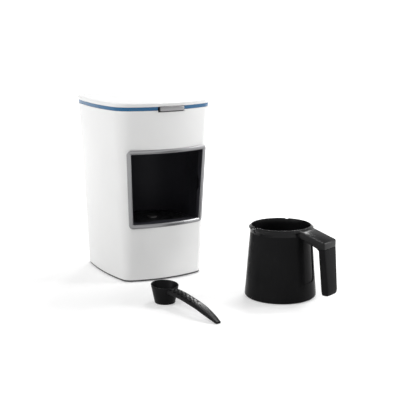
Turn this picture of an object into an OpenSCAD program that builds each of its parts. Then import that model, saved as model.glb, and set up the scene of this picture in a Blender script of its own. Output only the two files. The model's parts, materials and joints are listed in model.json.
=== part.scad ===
// Electric Turkish coffee maker with its coffee pot and measuring spoon.
// Millimetres, +Z up, the front of the machine faces -Y.
// The origin is on the table under the middle of the machine.

/* [Machine body] */
// Height of the machine over the table
machine_h = 240; // [225:1:255]
// Half of the width at the top
top_half_w = 77; // [72:0.5:82]
// How far each side has drawn in at the foot
side_draw = 14; // [8:0.5:18]
// Distance from the middle to the front at the top
top_front_d = 82; // [78:0.5:86]
// How far the front has drawn in at the foot
front_draw = 17.2; // [12:0.1:20]
// Distance from the middle to the back at the top
top_back_d = 82; // [78:0.5:86]
// How far the back has drawn in at the foot
back_draw = 3; // [0:0.5:6]
// Power of the draw: below 1 the sides pull in early
draw_power = 0.8; // [0.6:0.05:1]
// Bow of the front face at the top
front_bow_top = 18; // [12:0.5:20]
// Bow of the front face at the foot
front_bow_foot = 11; // [8:0.5:14]
// Bow of the sides and the back
side_bow = 6.4; // [4:0.2:8]
// Bow of the front half of each side at the top
front_side_bow_top = 9; // [6:0.5:10]
// Radius of the upright back corners at the top
corner_r_top = 22; // [16:1:26]
// Radius of the upright front corners at the top
front_corner_r_top = 16; // [14:1:22]
// Radius of the upright corners at the foot
corner_r_foot = 9; // [7:1:14]
// Thickness of the casing wall
wall = 2.6; // [2:0.1:3]

/* [Window and chamber] */
// Height of the lower edge of the window frame
window_z0 = 73.7; // [72:0.1:78]
// Height of the upper edge of the window frame
window_z1 = 178.4; // [174:0.1:180]
// Half width of the window frame at its lower edge
window_hw0 = 53.9; // [52:0.1:55]
// Half width of the window frame at its upper edge
window_hw1 = 58.5; // [56:0.1:60]
// Corner radius of the window frame
window_r = 5.5; // [4:0.5:8]
// Width of the frame's border
border = 5.4; // [5:0.1:5.6]
// Distance of the chamber's round back and hot plate behind the origin
chamber_y = -20; // [-24:1:-18]
// Radius of the hot plate
hot_plate_r = 40; // [36:1:41]

/* [Start button] */
// Width of the start button
button_w = 34.4; // [30:0.2:36]
// Height of the start button
button_h = 5.6; // [5:0.1:6]

/* [Coffee pot] */
// Position of the pot across the table
pot_x = 92.5; // [88:0.5:120]
// Position of the pot along the table
pot_y = -198.5; // [-230:0.5:-195]
// Direction of the handle, counter-clockwise from +X
handle_angle = -67.2; // [-75:0.1:-50]
// Outer radius of the pot at its foot
pot_foot_r = 45.6; // [42:0.1:46]
// Outer radius of the pot at its rim
pot_rim_r = 38.3; // [37:0.1:39]
// Height of the pot
pot_h = 92; // [88:0.5:92]
// Width of the handle
handle_w = 29.2; // [26:0.2:32]

/* [Measuring spoon] */
// Position of the bowl across the table
spoon_x = -50.8; // [-60:0.2:-30]
// Position of the bowl along the table
spoon_y = -156.5; // [-175:0.5:-140]
// Direction of the spoon handle, counter-clockwise from +X
spoon_angle = -82; // [-95:1:-70]
// Outer radius of the bowl at its mouth
bowl_top_r = 17.4; // [16:0.1:20]
// Outer radius of the bowl at its foot
bowl_foot_r = 13; // [11:0.1:14]
// Height of the bowl at its middle
bowl_h = 23; // [20:0.2:26]
// Slope of the bowl's mouth down towards the handle, in degrees
bowl_tilt = 5; // [0:0.5:8]

/* [Hidden] */

$fn = 64;
eps = 0.01;

// Levels of the machine
plate_z0 = 1;
casing_z0 = 3;
band_z0 = 229.3;
lid_z0 = 234.3;
skirt_z0 = 224;
corner_steps = 6;
side_steps = 6;

// Chamber
chamber_wall = 2.6;
mouth_wall = 0.6;
chamber_front_y = -57;
leg_pilot_h = 30;
floor_z0 = 73;
floor_z1 = 77;
ceiling_z0 = 173.4;
ceiling_z1 = 177;
frame_depth = 2.9;
sensor_r = 7;
running_gap = 0.06;
plate_top = floor_z1 + 0.6;
plate_foot = floor_z0 - 3.5;
plate_rest_stand = 1.5;
strap_z1 = plate_foot - 8.5;
strap_z0 = strap_z1 - 1.5;
stud_x = 17;
element_ring_r = 29;
element_end_angle = 20;

// Screws
screw_r = 1.5;
screw_head_r = 3.4;
pilot_r = 1.6;
casing_boss_x = 52;
boss_z0 = 6;
casing_boss_y = [-44, 60];
leg_front = [43, -46];
leg_back = [34.6, 14.4];
leg_r = 4.5;

// Front control group
stem_r = 2.4;
button_z = band_z0 + 1.9;
button_face_y = -83.3;
button_back_y = -77.8;
guide_y0 = -75.8;
guide_y1 = -62;
board_y0 = -50.8;
board_t = 1.6;
board_hole_x = 28;
board_hole_z = [199, 219];
spring_pocket_r = 5;
spring_pocket_depth = 9.8;
switch_y0 = -57.3;
plunger_r = 1.75;
plunger_y0 = -59.6;

// Power board
power_z = 16;
power_y0 = 26;
power_y1 = 68;
power_hw = 46;
power_hole = [[-41, 31], [41, 31], [-41, 63], [41, 63]];

// Cord gland
gland_x = -30;
gland_z = 30;
gland_bore_r = 3.5;

// Pot
pot_wall = 2;
base_disc_r = 34;
base_ring_r = 38.4;
collar_z0 = 83.5;
collar_z1 = pot_h - 1.4;
collar_r = 40.8;
collar_bore_r = 36.95;
mouth_bore_r = 38.15;
handle_root = [36, collar_z1 + 0.75];
handle_end = [72.8, 80.3];
handle_corner = 2.4;
handle_bow = 0.5;
grip_in_r = 63.7;
grip_screw_r = 67.8;
grip_top_z = 71.5;
panel_hw = handle_w / 2 + 0.4;
panel_z0 = 23;
panel_r = 7;
lip_angles = [113, -113];

// ---------------------------------------------------------------- functions

function mix(a, b, t) = a + (b - a) * t;

function unit(v) = v / norm(v);

function arc(centre, r, a0, a1, steps) =
    [for (i = [0:steps]) let (a = mix(a0, a1, i / steps)) centre + r * [cos(a), sin(a)]];

// How much of the full draw has happened at height z
function drawn(z) = pow(max(1 - z / machine_h, 0), draw_power);
function half_w(z) = top_half_w - side_draw * drawn(z);
function front_d(z) = top_front_d - front_draw * drawn(z);
function back_d(z) = top_back_d - back_draw * drawn(z);
function corner_r(z) = mix(corner_r_foot, corner_r_top, z / machine_h);
function front_corner_r(z) = mix(corner_r_foot, front_corner_r_top, z / machine_h);
function front_side_bow(z) = mix(side_bow, front_side_bow_top, z / machine_h);
function front_bow(z) = mix(front_bow_foot, front_bow_top, z / machine_h);

// Y of the casing's front and back faces at a point of them
function front_y(x, z) = -front_d(z) + front_bow(z) * pow(x / half_w(z), 2);
function back_y(x, z) = back_d(z) - side_bow * pow(x / half_w(z), 2);

// Outer surface of the casing beside the window, where its sides draw it back from front_y
function skin_y(x, z) = lookup(x, [for (p = skin_ring(z, 0)) if (p.y < -30) [p.x, p.y]]);

// Counter-clockwise rounded rectangle with points along its sides, its front corners at y0
function rounded_rect(hw, y0, y1, r_front, r_back) =
    let (
        r = [r_back, r_back, r_front, r_front],
        centres = [[hw - r[0], y1 - r[0]], [r[1] - hw, y1 - r[1]],
                   [r[2] - hw, y0 + r[2]], [hw - r[3], y0 + r[3]]],
        arcs = [for (k = [0:3]) arc(centres[k], r[k], 90 * k, 90 * k + 90, corner_steps)]
    )
    [for (k = [0:3])
        let (from = arcs[k][corner_steps], to = arcs[(k + 1) % 4][0])
        each concat(arcs[k], [for (i = [1:side_steps - 1]) mix(from, to, i / side_steps)])];

// Bows a point of the straight-sided plan at height z
function bowed(p, z) =
    let (
        middle = (back_d(z) - front_d(z)) / 2,
        half_d = (back_d(z) + front_d(z)) / 2,
        a = p.x / half_w(z),
        b = (p.y - middle) / half_d
    )
    [
        p.x - a * (b < 0 ? front_side_bow(z) : side_bow) * b * b,
        p.y + front_bow(z) * a * a * max(-b, 0) - side_bow * a * a * max(b, 0),
        z
    ];

// Plan outline of the machine at height z, a distance inside its skin
function skin_ring(z, inset) =
    let (
        r_front = max(front_corner_r(z) - inset, 1.5),
        r_back = max(corner_r(z) - inset, 1.5),
        plan = rounded_rect(half_w(z) - inset, inset - front_d(z), back_d(z) - inset, r_front, r_back)
    )
    [for (p = plan) bowed(p, z)];

// The same plan outline set at another height
function skin_ring_at(plan_z, inset, z) = [for (p = skin_ring(plan_z, inset)) [p.x, p.y, z]];

// Half width of the window frame's outer edge
function window_hw(z) = mix(window_hw0, window_hw1, (z - window_z0) / (window_z1 - window_z0));

// Plan of the chamber: open and straight in front, half round at the back
function chamber_ring(z, grow, front) =
    let (r = window_hw(z) - border - mouth_wall + grow)
    concat(
        [for (i = [0:20]) let (a = 9 * i) [r * cos(a), chamber_y + r * sin(a), z]],
        [[-r, front, z], [r, front, z]]
    );

// Rounded trapezium in X and Z, a distance inside the window frame's edge
function window_outline(inset, steps) =
    let (
        r = max(window_r - inset, 1),
        z0 = window_z0 + inset + r,
        z1 = window_z1 - inset - r,
        x0 = window_hw(z0) - inset - r,
        x1 = window_hw(z1) - inset - r
    )
    concat(
        arc([x1, z1], r, 0, 90, steps), arc([-x1, z1], r, 90, 180, steps),
        arc([-x0, z0], r, 180, 270, steps), arc([x0, z0], r, 270, 360, steps)
    );

// The same outline, counter-clockwise, with points along its sides too
function window_loop(inset) =
    let (steps = 5, side = 8, count = steps + 1, corners = window_outline(inset, steps))
    [for (k = [0:3])
        let (
            from = corners[k * count + steps],
            to = corners[((k + 1) % 4) * count]
        )
        each concat(
            [for (i = [0:steps]) corners[k * count + i]],
            [for (i = [1:side - 1]) mix(from, to, i / side)]
        )];

// Point of the window in X and Z, a distance behind the casing's face
function on_face(q, depth) = [q.x, front_y(q.x, q.y) + depth, q.y];

// Outer radius of the pot's body at a height over its foot
function pot_r(z) = mix(pot_foot_r, pot_rim_r, z / pot_h);

// ---------------------------------------------------------------- solids

// Solid through a list of rings that each have the same number of points
module loft(rings) {
    n = len(rings[0]);
    m = len(rings);
    polyhedron(
        points = [for (ring = rings) each ring],
        faces = concat(
            [[for (i = [0:n - 1]) i]],
            [[for (i = [n - 1:-1:0]) (m - 1) * n + i]],
            [for (k = [0:m - 2], i = [0:n - 1]) [k * n + i, (k + 1) * n + i, (k + 1) * n + (i + 1) % n]],
            [for (k = [0:m - 2], i = [0:n - 1]) [k * n + i, (k + 1) * n + (i + 1) % n, k * n + (i + 1) % n]]
        ),
        convexity = 6
    );
}

// Closed band through rings whose last one joins the first again
module loop_loft(rings) {
    n = len(rings[0]);
    m = len(rings);
    polyhedron(
        points = [for (ring = rings) each ring],
        faces = concat(
            [for (k = [0:m - 1], i = [0:n - 1])
                [k * n + i, ((k + 1) % m) * n + i, ((k + 1) % m) * n + (i + 1) % n]],
            [for (k = [0:m - 1], i = [0:n - 1])
                [k * n + i, ((k + 1) % m) * n + (i + 1) % n, k * n + (i + 1) % n]]
        ),
        convexity = 6
    );
}

// Wall that follows the machine's skin between two depths inside it
module skin_wall(levels, outer, inner) {
    loop_loft(concat(
        [for (z = levels) skin_ring(z, outer)],
        [for (i = [len(levels) - 1:-1:0]) skin_ring(levels[i], inner)]
    ));
}

// Round wire along a path
module tube(path, r, sides) {
    last = len(path) - 1;
    loft([for (i = [0:last])
        let (
            along = unit(path[min(i + 1, last)] - path[max(i - 1, 0)]),
            ref = abs(along.z) > 0.9 ? [0, 1, 0] : [0, 0, 1],
            across = unit(cross(along, ref)),
            up = cross(along, across)
        )
        [for (k = [0:sides - 1]) let (a = 360 * k / sides) path[i] + r * (cos(a) * across + sin(a) * up)]
    ]);
}

// Compression spring along +Z
module coil(mean_r, wire_r, length, turns) {
    steps = round(turns * 14);
    tube([for (i = [0:steps])
        let (a = 360 * turns * i / steps, z = mix(wire_r, length - wire_r, i / steps))
        [mean_r * cos(a), mean_r * sin(a), z]], wire_r, 6);
}

// Upright slot with round ends, cut along Y
module slot(w, h, depth) {
    rotate([90, 0, 0]) linear_extrude(depth, center = true) {
        square([w, h - w], center = true);
        for (s = [-1, 1]) translate([0, s * (h - w) / 2]) circle(d = w, $fn = 24);
    }
}

// Pan head screw that points up
module screw(head_r, head_h, shank_r, length) {
    difference() {
        cylinder(r = head_r, h = head_h, $fn = 32);
        for (a = [0, 90]) rotate(a) translate([0, 0, -eps]) cube([head_r * 1.1, 0.8, 1.6], center = true);
    }
    translate([0, 0, head_h - eps]) cylinder(r = shank_r, h = length, $fn = 32);
}

// Repeats its children over the machine's two halves
module both_sides() {
    children();
    mirror([1, 0, 0]) children();
}

module at_pot() translate([pot_x, pot_y, 0]) rotate(handle_angle) children();

// ---------------------------------------------------------------- machine casing

module outer_casing() color("white") {
    levels = [casing_z0, 14, 34, 60, 90, 120, 150, 180, 206, band_z0];
    difference() {
        union() {
            skin_wall(levels, 0, wall);
            both_sides() for (y = casing_boss_y) {
                translate([casing_boss_x, y, boss_z0]) cylinder(r = leg_r, h = 34);
                translate([casing_boss_x, y - 1, boss_z0]) cube([7, 2, 34]);
            }
            both_sides() for (z = board_hole_z)
                translate([board_hole_x, front_y(board_hole_x, z) + wall / 2, z]) rotate([-90, 0, 0])
                    cylinder(r = 3.5, h = board_y0 - front_y(board_hole_x, z) - wall / 2);
        }
        casing_cuts();
    }
}

// Everything that is cut out of the casing
module casing_cuts() {
    translate([0, -45, 0]) rotate([90, 0, 0]) linear_extrude(60) polygon(window_outline(1.6, 5));
    translate([-19, -95, button_z - button_h / 2 - 1.3]) cube([38, 35, 10]);
    both_sides() for (y = casing_boss_y)
        translate([casing_boss_x, y, 5]) cylinder(r = pilot_r, h = 25, $fn = 32);
    both_sides() for (z = board_hole_z)
        translate([board_hole_x, board_y0 + eps, z]) rotate([90, 0, 0]) cylinder(r = 1.3, h = 16, $fn = 32);
    for (z = [34, 200], i = [-5:5])
        if (z > 100 || i > 0) translate([i * 8, top_back_d - 2, z]) slot(3, 24, 20);
    translate([gland_x, 70, gland_z]) rotate([-90, 0, 0]) cylinder(r = 8.2, h = 20);
    translate([gland_x, back_y(gland_x, gland_z), gland_z]) rotate([-90, 0, 0]) cylinder(r = 11, h = 10);
    both_sides() for (y = [-24, 16]) translate([half_w(227) - wall - 1, y, 225.2]) cube([2.2, 14, 2.8]);
}

module top_cover() color("white") {
    difference() {
        union() {
            difference() {
                loft([
                    skin_ring_at(lid_z0, 0, lid_z0), skin_ring_at(237, 0, 237),
                    skin_ring_at(238.4, 0.5, 238.4), skin_ring_at(machine_h, 2.2, 239.3),
                    skin_ring_at(machine_h, 5, 239.7), skin_ring_at(machine_h, 30, machine_h)
                ]);
                loft([skin_ring_at(lid_z0, 3.2, lid_z0 - 1), skin_ring_at(237, 3.2, 236.8)]);
            }
            skin_wall([skirt_z0, 230, 236.9], 3.2, 5.2);
        }
        translate([-19.5, -90, skirt_z0 - 1]) cube([39, 30, lid_z0 - skirt_z0 + 1]);
        translate([-5, -78.6, skirt_z0]) cube([10, 15, lid_z0 - skirt_z0 + 1.8]);
    }
    both_sides() for (y = [-23, 17]) translate([half_w(227) - wall - 2.2, y, 225.5]) cube([2.6, 12, 2.2]);
}

module accent_band() color("steelblue") difference() {
    skin_wall([band_z0, lid_z0], 0.9, 2.9);
    translate([-19, -90, band_z0 - 1]) cube([38, 30, 7]);
}

// Crowned trim frame that is let into the window's edge, its underside sloped down to the casing
module window_frame() color("silver") {
    // Distance inside the edge, depth behind the face, and share of the gap down to the casing
    profile = [
        [0, 0.1, 0], [1.8, -0.05, 1], [1.8, frame_depth, 0.5], [border, frame_depth, 0],
        [border, 0.5, 0], [border - 0.5, 0, 0], [4, -0.5, 0], [2.2, -0.8, 0], [0.7, -0.7, 0], [0.1, -0.3, 0]
    ];
    loops = [for (p = profile) window_loop(p.x)];
    loop_loft([for (i = [0:len(loops[0]) - 1])
        [for (j = [0:len(profile) - 1]) let (p = loops[j][i], stand = skin_y(p.x, p.y) - front_y(p.x, p.y))
            on_face(p, profile[j].y + profile[j].z * stand)]]);
}

// Liner whose thin mouth comes forward inside the window frame
module brewing_chamber() color("#1c1c1e") {
    difference() {
        union() {
            loft([for (z = [floor_z0, ceiling_z1]) chamber_ring(z, chamber_wall, chamber_front_y)]);
            both_sides() for (p = [leg_front, leg_back])
                translate([p.x, p.y, boss_z0]) cylinder(r = leg_r, h = floor_z0 - boss_z0 + 1);
        }
        loft([for (z = [floor_z1, ceiling_z0]) chamber_ring(z, 0.6, chamber_front_y + 1.8)]);
        translate([0, chamber_front_y + 3, 0]) rotate([90, 0, 0])
            linear_extrude(6) polygon(window_outline(border + mouth_wall / 2, 2));
        translate([0, chamber_y, floor_z0 - 1]) cylinder(r = hot_plate_r + 0.6, h = 8, $fn = 96);
        translate([0, chamber_y, ceiling_z0 - 1]) cylinder(r = 9.2, h = 6);
        for (a = clamp_angles) translate([0, chamber_y, 0]) rotate(a)
            translate([48, 0, floor_z0 - 1]) cylinder(r = 1.2, h = 4, $fn = 32);
        both_sides() for (p = [leg_front, leg_back])
            translate([p.x, p.y, 5]) cylinder(r = pilot_r, h = leg_pilot_h, $fn = 32);
    }
    mouth_outer = window_loop(border + 0.05);
    mouth_inner = window_loop(border + mouth_wall);
    back_y0 = chamber_front_y + 1.1;
    loop_loft([for (i = [0:len(mouth_outer) - 1]) let (p = mouth_outer[i], q = mouth_inner[i]) [
        on_face(p, 0.6), [p.x, back_y0, p.y], [q.x, back_y0, q.y], on_face(q, 0.6)
    ]]);
}

// ---------------------------------------------------------------- foot of the machine

screw_places = [
    for (s = [-1, 1], p = [
        [casing_boss_x, casing_boss_y[0]], [casing_boss_x, casing_boss_y[1]], leg_front, leg_back
    ]) [s * p.x, p.y]
];
foot_places = [[0, 0], for (x = [-44, 44], y = [-30, 46]) [x, y]];

module base_plate() color("#2a2a2c") difference() {
    union() {
        loft([skin_ring_at(casing_z0, 1, plate_z0), skin_ring_at(casing_z0, 0.6, casing_z0)]);
        skin_wall([casing_z0 - 0.5, boss_z0 - 0.2], 3, 5);
        intersection() {
            for (p = screw_places) translate([p.x, p.y, casing_z0 - eps])
                cylinder(r = 5, h = boss_z0 - casing_z0 + eps);
            loft([skin_ring_at(casing_z0, 3.2, casing_z0 - 0.6), skin_ring_at(casing_z0, 3.2, boss_z0 + 1)]);
        }
        for (p = foot_places) translate([p.x, p.y, casing_z0 - eps]) cylinder(r = 10, h = 1.6);
        for (p = power_hole) translate([p.x, p.y, casing_z0 - eps])
            cylinder(r = 3.5, h = power_z - casing_z0 + eps);
        for (x = [-21, 21]) translate([x - 0.8, -40, casing_z0 - eps]) cube([1.6, 60, 3]);
    }
    for (p = screw_places) translate([p.x, p.y, 0]) {
        cylinder(r = 4.2, h = 3.4, $fn = 32);
        cylinder(r = 1.9, h = 8, $fn = 32);
    }
    for (p = foot_places) translate([p.x, p.y, 0]) cylinder(r = 8.2, h = 2.4);
    for (p = power_hole) translate([p.x, p.y, 6]) cylinder(r = 1.3, h = 12, $fn = 32);
    both_sides() for (x = [17, 25, 33]) translate([x, -10, 0]) slot_in_floor();
}

// Cooling slot through the base plate
module slot_in_floor() linear_extrude(6) {
    square([3, 30], center = true);
    for (s = [-1, 1]) translate([0, 15 * s]) circle(r = 1.5, $fn = 24);
}

module rubber_feet() color("#161616") for (p = foot_places) translate([p.x, p.y, 0]) {
    cylinder(r1 = 7.2, r2 = 8, h = 0.8);
    translate([0, 0, 0.8 - eps]) cylinder(r = 8, h = 1.6 + eps);
}

module base_screws() color("silver") for (p = screw_places)
    translate([p.x, p.y, 1.3]) screw(screw_head_r, 2.1, screw_r, 14);

// ---------------------------------------------------------------- start button and its switch

// Front bar, round stem and two guide prongs
module start_button() color("silver") {
    front_r = 160;
    translate([0, 0, button_z - button_h / 2]) linear_extrude(button_h) intersection() {
        translate([-button_w / 2, button_face_y]) square([button_w, button_back_y - button_face_y]);
        translate([0, button_face_y + front_r]) circle(r = front_r, $fn = 720);
    }
    translate([0, button_back_y - 1, button_z]) rotate([-90, 0, 0])
        cylinder(r = stem_r, h = plunger_y0 - 0.05 - button_back_y + 1, $fn = 48);
    both_sides() translate([11.5, button_back_y - 1, button_z - 1.5]) cube([3, 12, 3]);
}

module button_guide() color("#1c1c1e") difference() {
    union() {
        translate([-18.8, guide_y0, button_z - 4.4]) cube([37.6, guide_y1 - guide_y0, 7.4]);
        both_sides() translate([14, guide_y1 - 1, button_z - 4.4]) cube([4.8, board_y0 - guide_y1 + 1, 7.4]);
    }
    translate([0, guide_y0 - 1, button_z]) rotate([-90, 0, 0])
        cylinder(r = stem_r + running_gap, h = 20, $fn = 48);
    translate([0, guide_y0 - 1, button_z]) rotate([-90, 0, 0])
        cylinder(r = spring_pocket_r, h = spring_pocket_depth + 1, $fn = 48);
    both_sides() translate([11.2, guide_y0 - 1, button_z - 1.8]) cube([3.6, 14, 3.6]);
}

module button_spring() color("lightgray")
    translate([0, button_back_y + 0.05, button_z]) rotate([-90, 0, 0])
        coil(3.6, 0.4, guide_y0 + spring_pocket_depth - button_back_y - 0.1, 5);

module switch_body() color("#202020") difference() {
    translate([-6, switch_y0, button_z - 3]) cube([12, board_y0 - switch_y0, 6]);
    translate([0, switch_y0 - 1, button_z]) rotate([-90, 0, 0])
        cylinder(r = plunger_r + running_gap, h = 5.4, $fn = 48);
}

module switch_plunger() color("firebrick") translate([0, plunger_y0, button_z]) rotate([-90, 0, 0])
    cylinder(r = plunger_r, h = 4.6, $fn = 48);

// ---------------------------------------------------------------- control electronics

module control_board() color("darkgreen") difference() {
    union() {
        translate([-34, board_y0, 192]) cube([68, board_t, 40]);
        translate([-6, board_y0 + board_t - eps, 206]) cube([12, 1.6, 12]);
        for (i = [0:4]) translate([-26 + 4 * i, board_y0 + board_t - eps, 202]) cube([2, 0.8, 1.2]);
        for (i = [0:3]) translate([10 + 4 * i, board_y0 + board_t - eps, 226]) cube([2, 0.8, 1.2]);
    }
    both_sides() for (z = board_hole_z) translate([board_hole_x, board_y0 - 1, z]) rotate([-90, 0, 0])
        cylinder(r = 1.6, h = 4, $fn = 32);
}

module board_screws() color("silver") both_sides() for (z = board_hole_z)
    translate([board_hole_x, board_y0 + board_t + 1.8, z]) rotate([90, 0, 0]) screw(2.8, 1.8, 1.2, 10);

module indicator_led() color("white") {
    translate([24, board_y0, button_z]) rotate([90, 0, 0]) cylinder(r = 1.5, h = 3, $fn = 32);
    translate([24, board_y0 - 3, button_z]) sphere(r = 1.5, $fn = 32);
}

module buzzer() color("#111111") translate([-16, board_y0, 206]) rotate([90, 0, 0]) difference() {
    cylinder(r = 6, h = 8);
    translate([0, 0, 7]) cylinder(r = 1, h = 2, $fn = 32);
}

module board_connectors() color("ivory") for (x = [-20, 12]) difference() {
    translate([x, board_y0 + board_t, 194]) cube([12, 7, 6]);
    translate([x + 1, board_y0 + board_t + 1, 193]) cube([10, 5, 5]);
}

// Tube in the chamber's ceiling with a flange above it
module foam_sensor_holder() color("#2a2a2c") translate([0, chamber_y, ceiling_z0]) difference() {
    union() {
        cylinder(r = 9, h = 18);
        translate([0, 0, ceiling_z1 - ceiling_z0]) cylinder(r = 13, h = 2);
    }
    translate([0, 0, -1]) cylinder(r = 6.1, h = 16);
    translate([0, 0, 10]) cylinder(r = 2, h = 20, $fn = 32);
}

module foam_sensor_lens() color("darkred") translate([0, chamber_y, ceiling_z0 + 0.4]) {
    cylinder(r = 6, h = 3);
    translate([0, 0, 3 - eps]) cylinder(r = 3, h = 4);
}

// ---------------------------------------------------------------- heater

clamp_angles = [90, 195, 345];
flange_r = 44;

module hot_plate() color("lightgray") translate([0, chamber_y, 0]) difference() {
    union() {
        translate([0, 0, plate_foot]) cylinder(r = hot_plate_r, h = plate_top - plate_foot, $fn = 96);
        translate([0, 0, plate_foot]) cylinder(r = flange_r, h = 2, $fn = 96);
        for (x = [-stud_x, stud_x]) translate([x, 0, 0]) {
            translate([0, 0, strap_z1]) cylinder(r = 3, h = plate_foot - strap_z1 + 1, $fn = 32);
            translate([0, 0, strap_z0 - 4.5]) cylinder(r = 1.9, h = 8, $fn = 32);
        }
    }
    translate([0, 0, plate_foot - 1]) cylinder(r = sensor_r + running_gap, h = 12);
}

module plate_seal() color("#303030") translate([0, chamber_y, plate_foot + 2]) difference() {
    cylinder(r = flange_r, h = floor_z0 - plate_foot - 2, $fn = 96);
    translate([0, 0, -1]) cylinder(r = hot_plate_r + 1.2, h = 8, $fn = 96);
}

module plate_clamps() color("silver") for (a = clamp_angles) translate([0, chamber_y, 0]) rotate(a)
    difference() {
        union() {
            translate([42, -5, plate_foot - 1.6]) cube([9, 10, 1.6]);
            translate([45.4, -5, plate_foot - eps]) cube([5.6, 10, floor_z0 - plate_foot + eps]);
        }
        translate([48, 0, plate_foot - 3]) cylinder(r = 1.4, h = 8, $fn = 32);
    }

module clamp_screws() color("silver") for (a = clamp_angles) translate([0, chamber_y, 0]) rotate(a)
    translate([48, 0, plate_foot - 3.4]) screw(2.6, 1.8, 1.1, 8);

// Tubular element soldered under the plate, with its two cold ends
module heating_element() color("dimgray") translate([0, chamber_y, 0]) {
    tube_r = 3.4;
    ring_z = plate_foot - tube_r;
    gap_angle = 24;
    rotate(gap_angle / 2 - 90) translate([0, 0, ring_z]) rotate_extrude(angle = 360 - gap_angle, $fn = 96)
        translate([element_ring_r, 0]) circle(r = tube_r, $fn = 32);
    for (s = [-1, 1]) rotate(s * element_end_angle - 90) translate([element_ring_r, 0, ring_z - 14])
        cylinder(r = tube_r - 0.6, h = 14, $fn = 32);
}

// Strap under the plate that carries the sensor's spring
module sensor_bracket() color("silver") translate([0, chamber_y, 0]) difference() {
    union() {
        translate([-24, -7, strap_z0]) cube([48, 14, strap_z1 - strap_z0]);
        translate([0, 0, strap_z0]) cylinder(r = 10, h = strap_z1 - strap_z0);
        translate([0, 0, strap_z1 - eps]) cylinder(r = 10, h = 3);
    }
    translate([0, 0, strap_z1]) cylinder(r = 8.8, h = 5);
    translate([0, 0, strap_z0 - 1]) cylinder(r = 3.4, h = 5);
    for (x = [-stud_x, stud_x]) translate([x, 0, strap_z0 - 1]) cylinder(r = 2.1, h = 5, $fn = 32);
}

module bracket_nuts() color("silver") for (x = [-stud_x, stud_x])
    translate([x, chamber_y, strap_z0 - 3.2]) difference() {
        cylinder(r = 4, h = 3.2, $fn = 6);
        translate([0, 0, -1]) cylinder(r = 1.95, h = 6, $fn = 32);
    }

module thermal_fuse() color("tan") translate([-6, chamber_y + 15, plate_foot - 2.4]) rotate([0, 90, 0]) {
    cylinder(r = 2.4, h = 12, $fn = 32);
    translate([0, 0, -5]) cylinder(r = 0.6, h = 22, $fn = 24);
}

// Sprung button in the middle of the plate that touches the pot
module temperature_sensor() color("gainsboro") translate([0, chamber_y, 0]) {
    top = plate_top + plate_rest_stand;
    flange_z = plate_foot - 2.2;
    rotate_extrude() polygon([
        [0, flange_z - 3], [4.6, flange_z - 3], [4.6, flange_z], [8.4, flange_z],
        [8.4, flange_z + 1.9], [sensor_r, flange_z + 1.9], [sensor_r, top - 0.6],
        [sensor_r - 0.6, top], [0, top]
    ]);
}

module sensor_spring() color("lightgray") translate([0, chamber_y, strap_z1 + 0.05])
    coil(6, 0.45, plate_foot - 2.2 - strap_z1 - 0.1, 3);

// ---------------------------------------------------------------- power supply

module power_board() color("darkgreen") difference() {
    translate([-power_hw, power_y0, power_z]) cube([2 * power_hw, power_y1 - power_y0, board_t]);
    for (p = power_hole) translate([p.x, p.y, power_z - 1]) cylinder(r = 1.7, h = 4, $fn = 32);
}

module power_board_screws() color("silver") for (p = power_hole)
    translate([p.x, p.y, power_z + board_t + 1.8]) rotate([180, 0, 0]) screw(2.8, 1.8, 1.2, 9);

// Laminated core round a wound bobbin
module transformer() color("#50483c") translate([14, 34, power_z + board_t]) {
    difference() {
        cube([34, 12, 28]);
        for (x = [5.5, 20.5]) translate([x, -1, 5]) cube([8, 14, 18]);
    }
    difference() {
        translate([6.5, -5, 5.4]) cube([21, 22, 17.2]);
        translate([13.4, -6, 5]) cube([7.2, 24, 18]);
    }
}

module relay() color("navy") translate([-8, 30, power_z + board_t]) cube([15, 19, 15.5]);

// Film capacitor and three round ones
module capacitors() color("goldenrod") translate([0, 0, power_z + board_t]) {
    translate([-38, 38, 0]) cube([26, 9, 16]);
    for (p = [[-32, 31], [2, 57], [-14, 58]]) translate([p.x, p.y, 0]) cylinder(r = 4, h = 14, $fn = 32);
}

module terminal_block() color("ivory") translate([-38, 52, power_z + board_t]) difference() {
    cube([20, 12, 13]);
    for (i = [0:2]) {
        translate([4 + 6 * i, 6, 6]) cylinder(r = 1.8, h = 8, $fn = 32);
        translate([4 + 6 * i, -1, 4]) rotate([-90, 0, 0]) cylinder(r = 1.6, h = 14, $fn = 32);
    }
}

// Bushing for the mains lead through the back of the casing
module cord_gland() color("#161616") {
    face_y = back_y(gland_x, gland_z);
    translate([gland_x, 0, gland_z]) rotate([-90, 0, 0]) difference() {
        union() {
            translate([0, 0, face_y - 8]) cylinder(r = 7.9, h = 9);
            translate([0, 0, face_y]) cylinder(r = 10.5, h = 2.4);
        }
        translate([0, 0, face_y - 9]) cylinder(r = gland_bore_r, h = 14);
    }
}

module gland_nut() color("#161616") translate([gland_x, back_y(gland_x, gland_z) - 7.4, gland_z])
    rotate([-90, 0, 0]) difference() {
        cylinder(r = 11, h = 3, $fn = 6);
        translate([0, 0, -1]) cylinder(r = 7.95, h = 6);
    }

// Leads between the terminals, the boards and the heater
module wiring() color("firebrick") {
    element_x = element_ring_r * sin(element_end_angle);
    element_y = chamber_y - element_ring_r * cos(element_end_angle);
    for (s = [-1, 1]) tube([
        [6 * s, 27, 24], [7 * s, 22, 26], [9 * s, 10, 30], [12 * s, -10, 33], [12 * s, -34, 36],
        [element_x * s + s, element_y - 2, 40], [element_x * s, element_y, 45],
        [element_x * s, element_y, plate_foot - 17.5]
    ], 1.1, 8);
    for (s = [-1, 1]) tube([
        [s * 15, -47.2, 193.8], [s * 15, -46, 188], [s * 19, -20, 184.5], [s * 26, 14, 184.5],
        [s * 31, 34, 182], [s * 33, 48, 172], [s * 33.5, 52, 140], [s * 35, 54, 90],
        [s * 39, 55, 52], [s * 42, 55, 30], [s * 42, 55, 17.8]
    ], 1.1, 8);
}

// ---------------------------------------------------------------- coffee pot

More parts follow.
